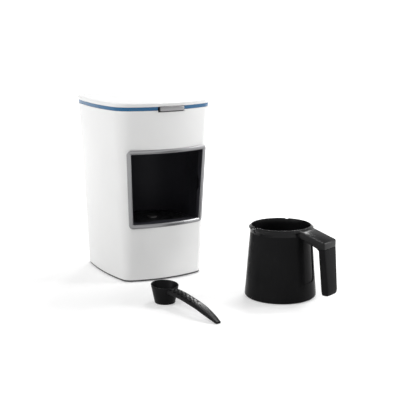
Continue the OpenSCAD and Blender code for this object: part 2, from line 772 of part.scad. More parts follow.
// Inner cup with a flanged rim
module pot_vessel() color("#1a1a1a") at_pot() difference() {
    inner = pot_wall + 0.3;
    skin = 1;
    rim_z0 = collar_z1 + 0.1;
    flange_z0 = 83;
    flange_out_r = collar_r - 1.5;
    rim_r = collar_r - 3.3;
    rotate_extrude($fn = 96) polygon([
        [0, 3], [pot_r(3) - inner - 4, 3], [pot_r(6) - inner, 6],
        [pot_r(flange_z0) - inner, flange_z0], [mouth_bore_r - 0.2, rim_z0],
        [flange_out_r - 0.1, rim_z0], [flange_out_r, rim_z0 + 0.1],
        [rim_r + 0.4, pot_h - 0.1], [rim_r + 0.2, pot_h], [rim_r, pot_h], [rim_r - 0.2, pot_h - 0.2],
        [rim_r - 0.4, pot_h - 1], [pot_r(flange_z0) - inner - skin, flange_z0],
        [pot_r(8) - inner - skin, 8], [pot_r(4) - inner - skin - 4, 4], [0, 4]
    ]);
    pouring_channels();
}

// What the two pouring lips leave open in the rim
module pouring_channels() for (a = lip_angles) rotate(a)
    translate([mouth_bore_r, 0, pot_h - 5.5]) cylinder(r1 = 0.4, r2 = 2.9, h = 6.5, $fn = 48);

module pot_base_disc() color("silver") at_pot() rotate_extrude($fn = 96) polygon([
    [0, 0], [base_disc_r - 0.5, 0], [base_disc_r, 0.5], [base_disc_r, 2.9], [0, 2.9]
]);

module pot_base_ring() color("#1a1a1a") at_pot() rotate_extrude($fn = 96) polygon([
    [base_disc_r + 0.2, 0.4], [base_ring_r, 0.4], [base_ring_r, 2.8], [base_disc_r + 0.2, 2.8]
]);

// Outer jacket with a scooped panel for the fingers under the arm
module pot_shell() color("#1a1a1a") at_pot() difference() {
    foot_round = 3.4;
    rotate_extrude($fn = 96) difference() {
        union() {
            polygon([
                [base_ring_r + 0.2, 0], [pot_foot_r - foot_round, 0], [pot_r(foot_round), foot_round],
                [pot_r(collar_z0), collar_z0], [pot_r(collar_z0) - pot_wall, collar_z0],
                [pot_r(4) - pot_wall, 4], [base_ring_r + 0.2, 3]
            ]);
            translate([pot_foot_r - foot_round - 0.2, foot_round]) circle(r = foot_round, $fn = 64);
        }
        translate([20, -10]) square([base_ring_r + 0.2 - 20, 30]);
        polygon([[30, 3], [base_ring_r + 0.2, 3], [pot_r(4) - pot_wall, 4],
                 [pot_r(40) - pot_wall, 40], [30, 40]]);
    }
    difference() {
        rotate([90, 0, 90]) linear_extrude(60) {
            translate([-panel_hw, panel_z0 + panel_r]) square([2 * panel_hw, 70]);
            translate([panel_r - panel_hw, panel_z0]) square([2 * (panel_hw - panel_r), panel_r + 1]);
            for (s = [-1, 1]) translate([s * (panel_hw - panel_r), panel_z0 + panel_r]) circle(r = panel_r);
        }
        cylinder(r1 = pot_r(0) - 1.3, r2 = pot_r(pot_h) - 1.3, h = pot_h, $fn = 96);
    }
}

// Height of the arm's top at a distance from the pot's axis
function arm_top(x) = mix(handle_root.y, handle_end.y, (x - handle_root.x) / (handle_end.x - handle_root.x));

// Plan of the handle between two distances from the pot's axis, with its outer end bowed
function handle_section(r0, r1, half, corner, bow) =
    let (side = half - corner)
    [for (p = concat(
        [for (i = [1:5]) [r1, mix(-side, side, i / 6)]],
        arc([r1 - corner, side], corner, 0, 90, 5), arc([r0 + corner, side], corner, 90, 180, 5),
        arc([r0 + corner, -side], corner, 180, 270, 5), arc([r1 - corner, -side], corner, 270, 360, 5)
    ))
        let (out = max((p.x - r0) / (r1 - r0) - 0.5, 0) * 2)
        [p.x - bow * out * pow(p.y / half, 2), p.y]];

// Side view of the arm, from the collar to the top of the grip
module arm_side() polygon([
    handle_root, handle_end - [1.6, -0.2], handle_end - [0.6, 0.4], handle_end - [0, 1.6],
    [handle_end.x, grip_top_z], [grip_in_r, grip_top_z], [56.6, 74.4], [36, 82.3]
]);

// Collar ring, pouring lips and the arm of the handle
module pot_collar() color("#151515") at_pot() difference() {
    union() {
        rotate_extrude($fn = 96) polygon([
            [collar_bore_r, collar_z0], [pot_r(collar_z0) + 0.1, collar_z0],
            [collar_r - 1.3, collar_z1 - 3.8], [collar_r - 0.2, collar_z1 - 2.1], [collar_r, collar_z1 - 1.2],
            [collar_r - 0.15, collar_z1 - 0.95], [collar_r - 1.3, collar_z1 - 0.1],
            [collar_r - 1.45, collar_z1], [mouth_bore_r, collar_z1]
        ]);
        for (a = lip_angles) rotate(a) difference() {
            translate([collar_r - 3, 0, 82]) cylinder(r1 = 0.8, r2 = 4.2, h = collar_z1 - 82.3, $fn = 48);
            translate([0, 0, 80]) cylinder(r = mouth_bore_r + 0.2, h = 12, $fn = 96);
        }
        difference() {
            intersection() {
                rotate([90, 0, 0]) linear_extrude(handle_w + 2, center = true) arm_side();
                translate([0, 0, 60]) linear_extrude(40)
                    polygon(handle_section(20, handle_end.x, handle_w / 2, handle_corner, handle_bow));
            }
            translate([0, 0, 60]) cylinder(r1 = pot_r(60) + 0.12, r2 = pot_r(95) + 0.12, h = 35, $fn = 96);
        }
    }
    pouring_channels();
    trim_pocket(0.1);
    translate([grip_screw_r, 0, grip_top_z - 1]) cylinder(r = 1.7, h = 12, $fn = 32);
    translate([grip_screw_r, 0, grip_top_z + 5.1]) cylinder(r = 3.3, h = 6, $fn = 32);
}

// Thin plate let into the top of the arm
module trim_pocket(gap) {
    x0 = 41.6 - gap;
    x1 = handle_end.x - 1.5 + gap;
    rotate([90, 0, 0]) linear_extrude(handle_w - 2.6 + 2 * gap, center = true) polygon([
        [x0, arm_top(x0) - 1.4 - gap], [x1, arm_top(x1) - 1.4 - gap],
        [x1, arm_top(x1) + 3], [x0, arm_top(x0) + 3]
    ]);
}

module pot_handle_trim() color("#0c0c0c") at_pot() intersection() {
    trim_pocket(0);
    rotate([90, 0, 0]) linear_extrude(handle_w, center = true)
        polygon([handle_root, handle_end, [handle_end.x, 70], [36, 70]]);
}

// Section across the hanging leg of the handle
function grip_ring(z, r0, r1, half, corner, bow) =
    [for (p = handle_section(r0, r1, half, corner, bow)) [p.x, p.y, z]];

module pot_grip() color("#1a1a1a") at_pot() difference() {
    loft([
        grip_ring(13.4, 69.6, 76, 9.6, 1.6, 0.4), grip_ring(14.1, 68.6, 76.9, 11, 2.2, 0.4),
        grip_ring(15.6, 68, 77.4, 11.8, 2.6, 0.5), grip_ring(19, 67.4, 77.8, 12.2, 2.8, 0.5),
        grip_ring(grip_top_z, grip_in_r, handle_end.x, handle_w / 2, handle_corner, handle_bow)
    ]);
    translate([grip_screw_r, 0, 50]) cylinder(r = 1.25, h = 30, $fn = 32);
}

module pot_grip_screw() color("silver") at_pot()
    translate([grip_screw_r, 0, grip_top_z + 7.1]) rotate([180, 0, 0]) screw(3, 1.9, 1.2, 20);

// ---------------------------------------------------------------- measuring spoon

// Centre line of the handle: distance from the bowl, height, half width and thickness
spoon_stations = [
    [14.4, 17.7, 7.6, 6.2], [24, 17.9, 7.6, 6], [40, 17, 7.4, 5.2], [56, 14.8, 7.2, 5],
    [72, 12.2, 6.9, 4.8], [86, 8.7, 6.2, 4.6], [98, 5.1, 5, 3.8], [108.4, 1.7, 3.5, 2.4]
];

// Rounded cross-section across the handle, with the given centre and tilt
function spoon_ring(i) =
    let (
        last = len(spoon_stations) - 1,
        s = spoon_stations[i],
        before = spoon_stations[max(i - 1, 0)],
        after = spoon_stations[min(i + 1, last)],
        along = unit([after.x - before.x, after.y - before.y]),
        up = [-along.y, along.x]
    )
    [for (p = [[1, 0.1], [0.86, 0.42], [0.5, 0.5], [0, 0.54], [-0.5, 0.5], [-0.86, 0.42], [-1, 0.1],
               [-0.92, -0.42], [-0.5, -0.5], [0, -0.5], [0.5, -0.5], [0.92, -0.42]])
        let (side = p.x * s[2], lift = p.y * s[3])
        [s.x + lift * up.x, side, s.y + lift * up.y]];

module measuring_spoon() color("#151515") translate([spoon_x, spoon_y, 0]) rotate(spoon_angle) {
    skin = 1.5;
    difference() {
        union() {
            rotate_extrude($fn = 72) polygon([
                [0, 0], [bowl_foot_r - 1.2, 0], [bowl_foot_r, 1.2],
                [bowl_top_r + 0.2, bowl_h + 1], [0, bowl_h + 1]
            ]);
            loft([for (i = [0:len(spoon_stations) - 1]) spoon_ring(i)]);
        }
        rotate_extrude($fn = 72) polygon([
            [0, skin], [bowl_foot_r - skin - 1, skin], [bowl_foot_r - skin, skin + 1],
            [bowl_top_r + 0.4 - skin, bowl_h + 2], [0, bowl_h + 2]
        ]);
        translate([0, 0, bowl_h]) rotate([0, bowl_tilt, 0]) translate([-20, -20, 0]) cube([40, 40, 6]);
    }
}

outer_casing();
top_cover();
accent_band();
window_frame();
brewing_chamber();
base_plate();
rubber_feet();
base_screws();
start_button();
button_guide();
button_spring();
switch_body();
switch_plunger();
control_board();
board_screws();
indicator_led();
buzzer();
board_connectors();
foam_sensor_holder();
foam_sensor_lens();
hot_plate();
plate_seal();
plate_clamps();
clamp_screws();
heating_element();
sensor_bracket();
bracket_nuts();
thermal_fuse();
temperature_sensor();
sensor_spring();
power_board();
power_board_screws();
transformer();
relay();
capacitors();
terminal_block();
cord_gland();
gland_nut();
wiring();
pot_vessel();
pot_base_disc();
pot_base_ring();
pot_shell();
pot_collar();
pot_grip();
pot_handle_trim();
pot_grip_screw();
measuring_spoon();
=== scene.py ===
"""Electric Turkish coffee maker with its coffee pot and measuring spoon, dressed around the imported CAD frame.

Lengths in the piece functions are millimetres and are set down in metres. +Z is up and the machine faces -Y.
"""

import json
import math

import bmesh
import bpy
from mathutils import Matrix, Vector


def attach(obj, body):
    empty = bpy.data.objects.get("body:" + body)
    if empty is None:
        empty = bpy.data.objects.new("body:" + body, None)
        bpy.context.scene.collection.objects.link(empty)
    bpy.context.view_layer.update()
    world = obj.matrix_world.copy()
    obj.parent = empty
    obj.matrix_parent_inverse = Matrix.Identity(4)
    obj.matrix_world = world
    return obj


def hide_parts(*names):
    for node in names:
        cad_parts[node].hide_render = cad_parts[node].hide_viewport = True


MM = 0.001
WELD = 2e-6

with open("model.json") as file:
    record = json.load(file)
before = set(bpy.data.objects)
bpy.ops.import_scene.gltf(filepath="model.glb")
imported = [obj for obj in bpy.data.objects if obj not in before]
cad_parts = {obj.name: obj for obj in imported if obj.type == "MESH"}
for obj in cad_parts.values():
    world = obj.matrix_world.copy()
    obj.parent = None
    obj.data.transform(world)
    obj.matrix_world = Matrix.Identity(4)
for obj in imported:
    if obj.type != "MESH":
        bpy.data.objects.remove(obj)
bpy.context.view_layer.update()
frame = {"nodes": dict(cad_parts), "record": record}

# ---------------------------------------------------------------- camera


CAMERA_PLACE = (-0.61084, -1.26694, 0.38257)
CAMERA_DIP, CAMERA_TURN = 11.938, -29.229  # degrees
CAMERA_SENSOR, CAMERA_LENS = 36, 89.99


def place_camera():
    """Long lens in front of the machine and to its left, a little above it."""
    bpy.ops.object.camera_add(
        location=CAMERA_PLACE,
        rotation=(math.radians(90 - CAMERA_DIP), 0, math.radians(CAMERA_TURN)),
    )
    camera = bpy.context.object
    camera.name = "studio_camera"
    camera.data.sensor_width = CAMERA_SENSOR
    camera.data.lens = CAMERA_LENS
    camera.data.clip_end = 200
    bpy.context.scene.camera = camera


place_camera()

# ---------------------------------------------------------------- finishes


NOISE_SPAN = (0.3, 0.7)  # where a noise starts and ends its run from dark to light


def link(tree, start, end):
    tree.links.new(start, end)


def node(tree, kind, **settings):
    """A new shader node with its sockets or properties set by name."""
    made = tree.nodes.new(kind)
    for name, value in settings.items():
        socket = made.inputs.get(name.replace("_", " "))
        if socket is None:
            setattr(made, name, value)
        else:
            socket.default_value = value
    return made


def surface_of(tree):
    """The shader that a new material starts with."""
    return tree.nodes["Principled BSDF"]


def object_place(tree, turn=(0, 0, 0), shift=(0, 0, 0)):
    """Object coordinates, turned and shifted."""
    place = node(tree, "ShaderNodeTexCoord")
    mapping = node(tree, "ShaderNodeMapping", Location=shift, Rotation=turn)
    link(tree, place.outputs["Object"], mapping.inputs["Vector"])
    return mapping.outputs["Vector"]


def shades(tree, factor, dark, light):
    """Colour that runs from dark to light with a noise."""
    ramp = node(tree, "ShaderNodeValToRGB")
    for element, position, colour in zip(ramp.color_ramp.elements, NOISE_SPAN, (dark, light)):
        element.position = position
        element.color = (*colour, 1)
    link(tree, factor, ramp.inputs["Fac"])
    return ramp.outputs["Color"]


def between(tree, factor, low, high, start=NOISE_SPAN[0], end=NOISE_SPAN[1]):
    """Number that runs from low to high while a factor runs from start to end."""
    span = node(tree, "ShaderNodeMapRange", From_Min=start, From_Max=end, To_Min=low, To_Max=high)
    link(tree, factor, span.inputs["Value"])
    return span.outputs["Result"]


def raise_bumps(tree, height, distance):
    """Bumps on the surface that follow a height, up to a distance in metres."""
    bump = node(tree, "ShaderNodeBump", Strength=1, Distance=distance)
    link(tree, height, bump.inputs["Height"])
    link(tree, bump.outputs["Normal"], surface_of(tree).inputs["Normal"])


def finish(name, dark, light, rough, drift=30, grain=900, depth=0.00001, **shader):
    """Finish whose colour and roughness drift slowly and whose surface has a fine moulded or brushed grain."""
    material = bpy.data.materials.new(name)
    material.use_nodes = True
    tree = material.node_tree
    surface = surface_of(tree)
    place = object_place(tree)
    slow = node(tree, "ShaderNodeTexNoise", Scale=drift, Detail=4, Roughness=0.6)
    fine = node(tree, "ShaderNodeTexNoise", Scale=grain, Detail=3, Roughness=0.55)
    for noise in (slow, fine):
        link(tree, place, noise.inputs["Vector"])
    link(tree, shades(tree, slow.outputs["Fac"], dark, light), surface.inputs["Base Color"])
    link(tree, between(tree, slow.outputs["Fac"], *rough), surface.inputs["Roughness"])
    raise_bumps(tree, fine.outputs["Fac"], depth)
    for socket, value in shader.items():
        surface.inputs[socket.replace("_", " ")].default_value = value
    return material


def turned_metal(name, dark, light, rough, centre):
    """Metal with fine rings round an upright axis, as the lathe leaves it."""
    material = finish(name, dark, light, rough, drift=60, grain=1500, depth=0.000004, Metallic=1)
    tree = material.node_tree
    rings = node(
        tree, "ShaderNodeTexWave", Scale=260, Distortion=0.4, Detail=2, wave_type="RINGS", rings_direction="Z",
    )
    link(tree, object_place(tree, shift=(-centre[0] * MM, -centre[1] * MM, 0)), rings.inputs["Vector"])
    raise_bumps(tree, rings.outputs["Fac"], 0.00002)
    return material


def circuit_board(name):
    """Green lacquered board with paler tracks under the lacquer."""
    dark, light, track = (0.006, 0.07, 0.03), (0.01, 0.1, 0.045), (0.04, 0.2, 0.08)
    material = finish(name, dark, light, (0.25, 0.35), grain=1200, Coat_Weight=0.4)
    tree = material.node_tree
    tracks = node(
        tree, "ShaderNodeTexBrick", Color1=(*dark, 1), Color2=(*light, 1), Mortar=(*track, 1),
        Scale=110, Mortar_Size=0.03,
    )
    link(tree, object_place(tree, turn=(math.radians(90), 0, 0)), tracks.inputs["Vector"])
    link(tree, tracks.outputs["Color"], surface_of(tree).inputs["Base Color"])
    return material


PLATE_Y = -20  # upright axis of the hot plate and its sensor

FINISHES = {
    "body_white": finish(
        "glossy_white_abs", (0.79, 0.79, 0.785), (0.81, 0.81, 0.805), (0.14, 0.19),
        drift=14, grain=260, depth=0.000004, Specular_IOR_Level=0.3, Coat_Weight=0.06, Coat_Roughness=0.06),
    "band_blue": finish(
        "glossy_blue_band", (0.009, 0.1, 0.23), (0.012, 0.112, 0.25), (0.18, 0.26),
        drift=25, grain=500, depth=0.000003, Specular_IOR_Level=0.35),
    "trim_silver": finish(
        "satin_silver", (0.22, 0.22, 0.225), (0.245, 0.245, 0.25), (0.27, 0.33),
        drift=35, grain=1400, depth=0.0000015, Metallic=0.85),
    "liner_black": finish(
        "chamber_black", (0.032, 0.032, 0.038), (0.038, 0.038, 0.045), (0.36, 0.46),
        drift=40, grain=1800, depth=0.000008, Specular_IOR_Level=0.06),
    "base_grey": finish(
        "foot_plate_grey", (0.02, 0.02, 0.022), (0.035, 0.035, 0.037), (0.5, 0.62), grain=1700, depth=0.00002),
    "rubber": finish(
        "foot_rubber", (0.012, 0.012, 0.012), (0.022, 0.022, 0.022), (0.75, 0.9), grain=2400, depth=0.00003),
    "steel": finish(
        "zinc_plated_steel", (0.07, 0.07, 0.069), (0.11, 0.11, 0.108), (0.55, 0.65),
        drift=150, grain=1800, Metallic=1),
    "part_black": finish(
        "moulded_black", (0.012, 0.012, 0.013), (0.022, 0.022, 0.024), (0.42, 0.55), grain=1900, depth=0.00002),
    "part_red": finish(
        "moulded_red", (0.3, 0.015, 0.012), (0.38, 0.02, 0.018), (0.35, 0.45), grain=1500),
    "board_green": circuit_board("lacquered_board"),
    "lens_clear": finish(
        "clear_lens", (0.85, 0.9, 0.95), (0.92, 0.95, 1), (0.05, 0.1), grain=300, depth=0.000002,
        Transmission_Weight=0.9, IOR=1.49),
    "part_ivory": finish(
        "connector_ivory", (0.6, 0.54, 0.38), (0.7, 0.63, 0.46), (0.4, 0.5), grain=1500),
    "lens_dark": finish(
        "smoked_red_lens", (0.05, 0.004, 0.004), (0.08, 0.006, 0.006), (0.06, 0.12), grain=300, depth=0.000002),
    "plate_metal": turned_metal(
        "dark_turned_plate", (0.08, 0.08, 0.085), (0.12, 0.12, 0.125), (0.34, 0.46), (0, PLATE_Y)),
    "element_steel": finish(
        "heat_stained_steel", (0.05, 0.045, 0.04), (0.12, 0.1, 0.085), (0.4, 0.6), drift=90, Metallic=0.9),
    "part_blue": finish(
        "relay_blue", (0.008, 0.02, 0.14), (0.012, 0.03, 0.18), (0.3, 0.4), grain=1200),
    "part_ochre": finish(
        "dipped_ochre", (0.42, 0.19, 0.02), (0.5, 0.24, 0.03), (0.2, 0.3), drift=120, grain=600),
    "wire_red": finish(
        "silicone_lead", (0.35, 0.02, 0.015), (0.45, 0.03, 0.02), (0.4, 0.55), grain=1600),
    "pot_black": finish(
        "pot_matt_black", (0.009, 0.009, 0.0095), (0.011, 0.011, 0.0115), (0.22, 0.28),
        drift=45, grain=2100, depth=0.000008, Specular_IOR_Level=0.025),
    "pot_gloss": finish(
        "pot_gloss_black", (0.005, 0.005, 0.0055), (0.007, 0.007, 0.0075), (0.16, 0.22),
        drift=45, grain=900, depth=0.000004, Specular_IOR_Level=0.15),
    "spoon_black": finish(
        "spoon_black", (0.004, 0.004, 0.0045), (0.007, 0.007, 0.0075), (0.3, 0.4),
        drift=60, grain=1900, depth=0.00001, Specular_IOR_Level=0.08),
}

# ---------------------------------------------------------------- shaping tools


def clear():
    """Leaves edit mode with nothing selected."""
    if bpy.context.mode != "OBJECT":
        bpy.ops.object.mode_set(mode="OBJECT")
    bpy.ops.object.select_all(action="DESELECT")


def pick(*pieces):
    """Selects pieces, the first of them active."""
    clear()
    for piece in pieces:
        piece.select_set(True)
    bpy.context.view_layer.objects.active = pieces[0]
    return pieces[0]


def begin(name):
    """Names the primitive that was just added and opens it for editing."""
    piece = bpy.context.object
    piece.name = piece.data.name = name
    bpy.ops.object.mode_set(mode="EDIT")
    return piece


def settle(piece, ring):
    """Puts the selected points of a traced loop on a ring."""
    mesh = bmesh.from_edit_mesh(piece.data)
    place = mesh.verts.layers.int["place"]
    for vert in mesh.verts:
        if vert.select:
            vert.co = Vector(ring[vert[place]]) * MM
    bmesh.update_edit_mesh(piece.data)


def trace(name, ring):
    """A loop of edges on a ring of points, left open for editing."""
    clear()
    bpy.ops.mesh.primitive_circle_add(vertices=len(ring), radius=MM, fill_type="NOTHING")
    piece = begin(name)
    mesh = bmesh.from_edit_mesh(piece.data)
    place = mesh.verts.layers.int.new("place")
    for number, vert in enumerate(mesh.verts):
        vert[place] = number
    settle(piece, ring)
    return piece


def close_skin():
    """Merges doubles, turns the faces outwards and leaves edit mode."""
    bpy.ops.mesh.select_all(action="SELECT")
    bpy.ops.mesh.remove_doubles(threshold=WELD)
    bpy.ops.mesh.normals_make_consistent(inside=False)
    bpy.ops.object.mode_set(mode="OBJECT")


def loft(name, rings, looped=False):
    """Skin extruded from ring to ring, capped at both ends or led back to its first ring."""
    piece = trace(name, rings[0])
    for ring in rings[1:] + rings[:1] * looped:
        bpy.ops.mesh.extrude_region_move()
        settle(piece, ring)
    if not looped:
        bpy.ops.mesh.edge_face_add()
        bpy.ops.mesh.select_all(action="DESELECT")
        bpy.ops.mesh.select_non_manifold()
        bpy.ops.mesh.edge_face_add()
    close_skin()
    return piece


def lathe(name, profile, steps=96):
    """Profile of radius and height, extruded point by point and spun round the upright axis."""
    clear()
    bpy.ops.mesh.primitive_plane_add(size=MM)
    piece = begin(name)
    bpy.ops.mesh.merge(type="CENTER")
    bpy.ops.transform.translate(value=Vector((profile[0][0], 0, profile[0][1])) * MM)
    for before, after in zip(profile, profile[1:]):
        step = Vector((after[0] - before[0], 0, after[1] - before[1])) * MM
        bpy.ops.mesh.extrude_region_move(TRANSFORM_OT_translate={"value": step})
    bpy.ops.mesh.select_all(action="SELECT")
    bpy.ops.mesh.spin(steps=steps, angle=math.tau, center=(0, 0, 0), axis=(0, 0, 1))
    close_skin()
    return piece


def lay_down(name):
    """Names the new primitive and puts its place, turn and size into its mesh."""
    piece = bpy.context.object
    piece.name = piece.data.name = name
    bpy.ops.object.transform_apply(location=True, rotation=True, scale=True)
    return piece


def block(name, low, high):
    """Box between two corners."""
    clear()
    low, high = Vector(low) * MM, Vector(high) * MM
    bpy.ops.mesh.primitive_cube_add(size=1, location=(low + high) / 2, scale=high - low)
    return lay_down(name)


def rod(name, foot, radius, length, axis="Z", foot_radius=None, sides=48):
    """Round bar or cone along an axis, from the middle of its foot."""
    clear()
    turn = {"X": (0, math.radians(90), 0), "Y": (math.radians(-90), 0, 0), "Z": (0, 0, 0)}[axis]
    along = {"X": (1, 0, 0), "Y": (0, 1, 0), "Z": (0, 0, 1)}[axis]
    bpy.ops.mesh.primitive_cone_add(
        vertices=sides,
        radius1=(radius if foot_radius is None else foot_radius) * MM,
        radius2=radius * MM,
        depth=length * MM,
        location=(Vector(foot) + Vector(along) * length / 2) * MM,
        rotation=turn,
    )
    return lay_down(name)


def set_down(piece, place, angle=0):
    """Turns a piece about its upright axis, moves it to a place and keeps both in its mesh."""
    pick(piece)
    piece.rotation_euler.z = math.radians(angle)
    piece.location = Vector(place) * MM
    bpy.ops.object.transform_apply(location=True, rotation=True, scale=True)
    return piece


def apply(piece, kind, **settings):
    """Adds a modifier and applies it."""
    pick(piece)
    modifier = piece.modifiers.new(kind.lower(), kind)
    for name, value in settings.items():
        setattr(modifier, name, value)
    bpy.ops.object.modifier_apply(modifier=modifier.name)
    return piece


def joined(*pieces):
    """Several pieces as one object, each with its own skin."""
    pick(*pieces)
    if len(pieces) > 1:
        bpy.ops.object.join()
    return pieces[0]


def cut(piece, *cutters, operation="DIFFERENCE"):
    """Cuts, merges or keeps what pieces share, and takes the cutters away."""
    cutter = joined(*cutters)
    apply(piece, "BOOLEAN", operation=operation, object=cutter, solver="EXACT")
    bpy.data.objects.remove(cutter)
    return piece


def soften(piece, width, segments=2, angle=35):
    """Rounds the sharp edges."""
    return apply(
        piece, "BEVEL", width=width * MM, segments=segments, limit_method="ANGLE",
        angle_limit=math.radians(angle), use_clamp_overlap=True, miter_outer="MITER_ARC",
    )


def dress(piece, slot, body, *nodes, angle=32):
    """Shades a finished piece, gives it its finish, ties it to its body and hides the nodes that it stands for."""
    pick(piece)
    bpy.ops.object.shade_smooth_by_angle(angle=math.radians(angle))
    clear()
    piece.data.materials.clear()
    piece.data.materials.append(FINISHES[slot])
    for face in piece.data.polygons:
        face.material_index = 0
    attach(piece, body)
    if nodes:
        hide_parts(*nodes)
    return piece


def arc(centre, radius, start, end, steps):
    """Points along an arc, in degrees."""
    turns = [math.radians(start + (end - start) * i / steps) for i in range(steps + 1)]
    return [(centre[0] + radius * math.cos(a), centre[1] + radius * math.sin(a)) for a in turns]


def mix(a, b, t):
    return a + (b - a) * t


# ---------------------------------------------------------------- form of the machine

# The casing is widest at the top and drawn in towards the foot. A pair in brackets holds a value at the foot and
# one at the top.

MACHINE_H = 240
TOP_HALF_W, TOP_D = 77, 82
DRAW_W, DRAW_FRONT, DRAW_BACK, DRAW_POWER = 14, 17.2, 3, 0.8
FRONT_BOW, SIDE_BOW, BACK_BOW = (11, 18), (6.4, 9), 6.4
BACK_R, FRONT_R = (9, 22), (9, 16)
BAND_Z0, LID_Z0, CASING_Z0, SKIRT_Z0 = 229.3, 234.3, 3, 224
WALL = 2.6
BUTTON_Z, BUTTON_H, BUTTON_W, BUTTON_GAP_HW = 231.2, 5.6, 34.4, 19
WINDOW_Z0, WINDOW_Z1, WINDOW_R, BORDER = 73.7, 178.4, 5.5, 5.4
WINDOW_HW, WINDOW_LAP = (53.9, 58.5), 1.6
GLAND_X, GLAND_Z, GLAND_R, GLAND_SEAT_R = -30, 30, 8.2, 11
VENT_W, VENT_H, VENT_PITCH, VENT_LOW_Z, VENT_HIGH_Z = 3, 24, 8, 34, 200
BOSS_X, BOSS_FRONT_Y, BOSS_BACK_Y, BOSS_Z0, BOSS_Z1 = 52, -44, 60, 6, 40
BOSS_R, BOSS_BORE, FIN_L = 4.5, 1.6, 5
FRONT_CUT_Y, BACK_CUT_Y = (-45, -105), (68, 92)  # where a cutter through a wall starts and ends
CORNER_STEPS, SIDE_STEPS = 12, 14


def drawn(z):
    """Share of the draw at a height, 1 at the foot and 0 at the top."""
    return max(1 - z / MACHINE_H, 0) ** DRAW_POWER


def half_w(z):
    return TOP_HALF_W - DRAW_W * drawn(z)


def front_d(z):
    return TOP_D - DRAW_FRONT * drawn(z)


def back_d(z):
    return TOP_D - DRAW_BACK * drawn(z)


def front_bow(z):
    return mix(*FRONT_BOW, z / MACHINE_H)


def front_y(x, z):
    return -front_d(z) + front_bow(z) * (x / half_w(z)) ** 2


def back_y(x, z):
    return back_d(z) - BACK_BOW * (x / half_w(z)) ** 2


def with_sides(corners, steps):
    """Puts points along the straight runs between rounded corners."""
    ring = []
    for corner, following in zip(corners, corners[1:] + corners[:1]):
        start, end = corner[-1], following[0]
        ring += corner
        ring += [tuple(mix(a, b, i / steps) for a, b in zip(start, end)) for i in range(1, steps)]
    return ring


def skin_ring(plan_z, inset, z=None):
    """Plan outline of the machine at plan_z, a distance inside its skin, set at height z."""
    back_r, front_r = (max(mix(*radii, plan_z / MACHINE_H) - inset, 1.5) for radii in (BACK_R, FRONT_R))
    hw, y0, y1 = half_w(plan_z) - inset, inset - front_d(plan_z), back_d(plan_z) - inset
    corners = [arc((hw - back_r, y1 - back_r), back_r, 0, 90, CORNER_STEPS),
               arc((back_r - hw, y1 - back_r), back_r, 90, 180, CORNER_STEPS),
               arc((front_r - hw, y0 + front_r), front_r, 180, 270, CORNER_STEPS),
               arc((hw - front_r, y0 + front_r), front_r, 270, 360, CORNER_STEPS)]
    middle, half_d = (back_d(plan_z) - front_d(plan_z)) / 2, (back_d(plan_z) + front_d(plan_z)) / 2
    ring = []
    for x, y in with_sides(corners, SIDE_STEPS):
        a, b = x / half_w(plan_z), (y - middle) / half_d
        bow = front_bow(plan_z) * a * a * max(-b, 0) - BACK_BOW * a * a * max(b, 0)
        side_bow = mix(*SIDE_BOW, plan_z / MACHINE_H) if b < 0 else SIDE_BOW[0]
        ring.append((x - a * side_bow * b * b, y + bow, plan_z if z is None else z))
    return ring


def skin_band(name, levels, outer, inner, round_over=0.3):
    """Closed wall that follows the skin between two depths inside it, its rims rounded over."""
    low, high = levels[0], levels[-1]
    levels = [low + round_over, *levels[1:-1], high - round_over]
    rings = [skin_ring(low, outer + round_over)]
    rings += [skin_ring(z, outer) for z in levels]
    rings += [skin_ring(high, outer + round_over), skin_ring(high, inner - round_over)]
    rings += [skin_ring(z, inner) for z in reversed(levels)]
    rings += [skin_ring(low, inner - round_over)]
    return loft(name, rings, looped=True)


def window_hw(z):
    return mix(*WINDOW_HW, (z - WINDOW_Z0) / (WINDOW_Z1 - WINDOW_Z0))


def window_loop(inset):
    """Rounded trapezium in X and Z, a distance inside the window frame's edge."""
    r = max(WINDOW_R - inset, 1)
    z0, z1 = WINDOW_Z0 + inset + r, WINDOW_Z1 - inset - r
    x0, x1 = window_hw(z0) - inset - r, window_hw(z1) - inset - r
    middles = ((x1, z1), (-x1, z1), (-x0, z0), (x0, z0))
    return with_sides([arc(c, r, 90 * k, 90 * k + 90, 8) for k, c in enumerate(middles)], 18)


def vent_cutter(x, z):
    """Upright slot with round ends through the back wall."""
    rise, r = (VENT_H - VENT_W) / 2, VENT_W / 2
    outline = arc((x, z + rise), r, 0, 180, 8) + arc((x, z - rise), r, 180, 360, 8)
    return loft("vent", [[(px, y, pz) for px, pz in outline] for y in BACK_CUT_Y])


# ---------------------------------------------------------------- machine casing


def tube(name, foot, outer, inner, length):
    """Upright tube, open at its foot and closed by a 5 mm floor at its top."""
    floor = length - 5
    profile = [(inner, 0), (outer, 0), (outer, length), (0, length), (0, floor), (inner, floor), (inner, 0)]
    return set_down(lathe(name, profile, 40), foot)


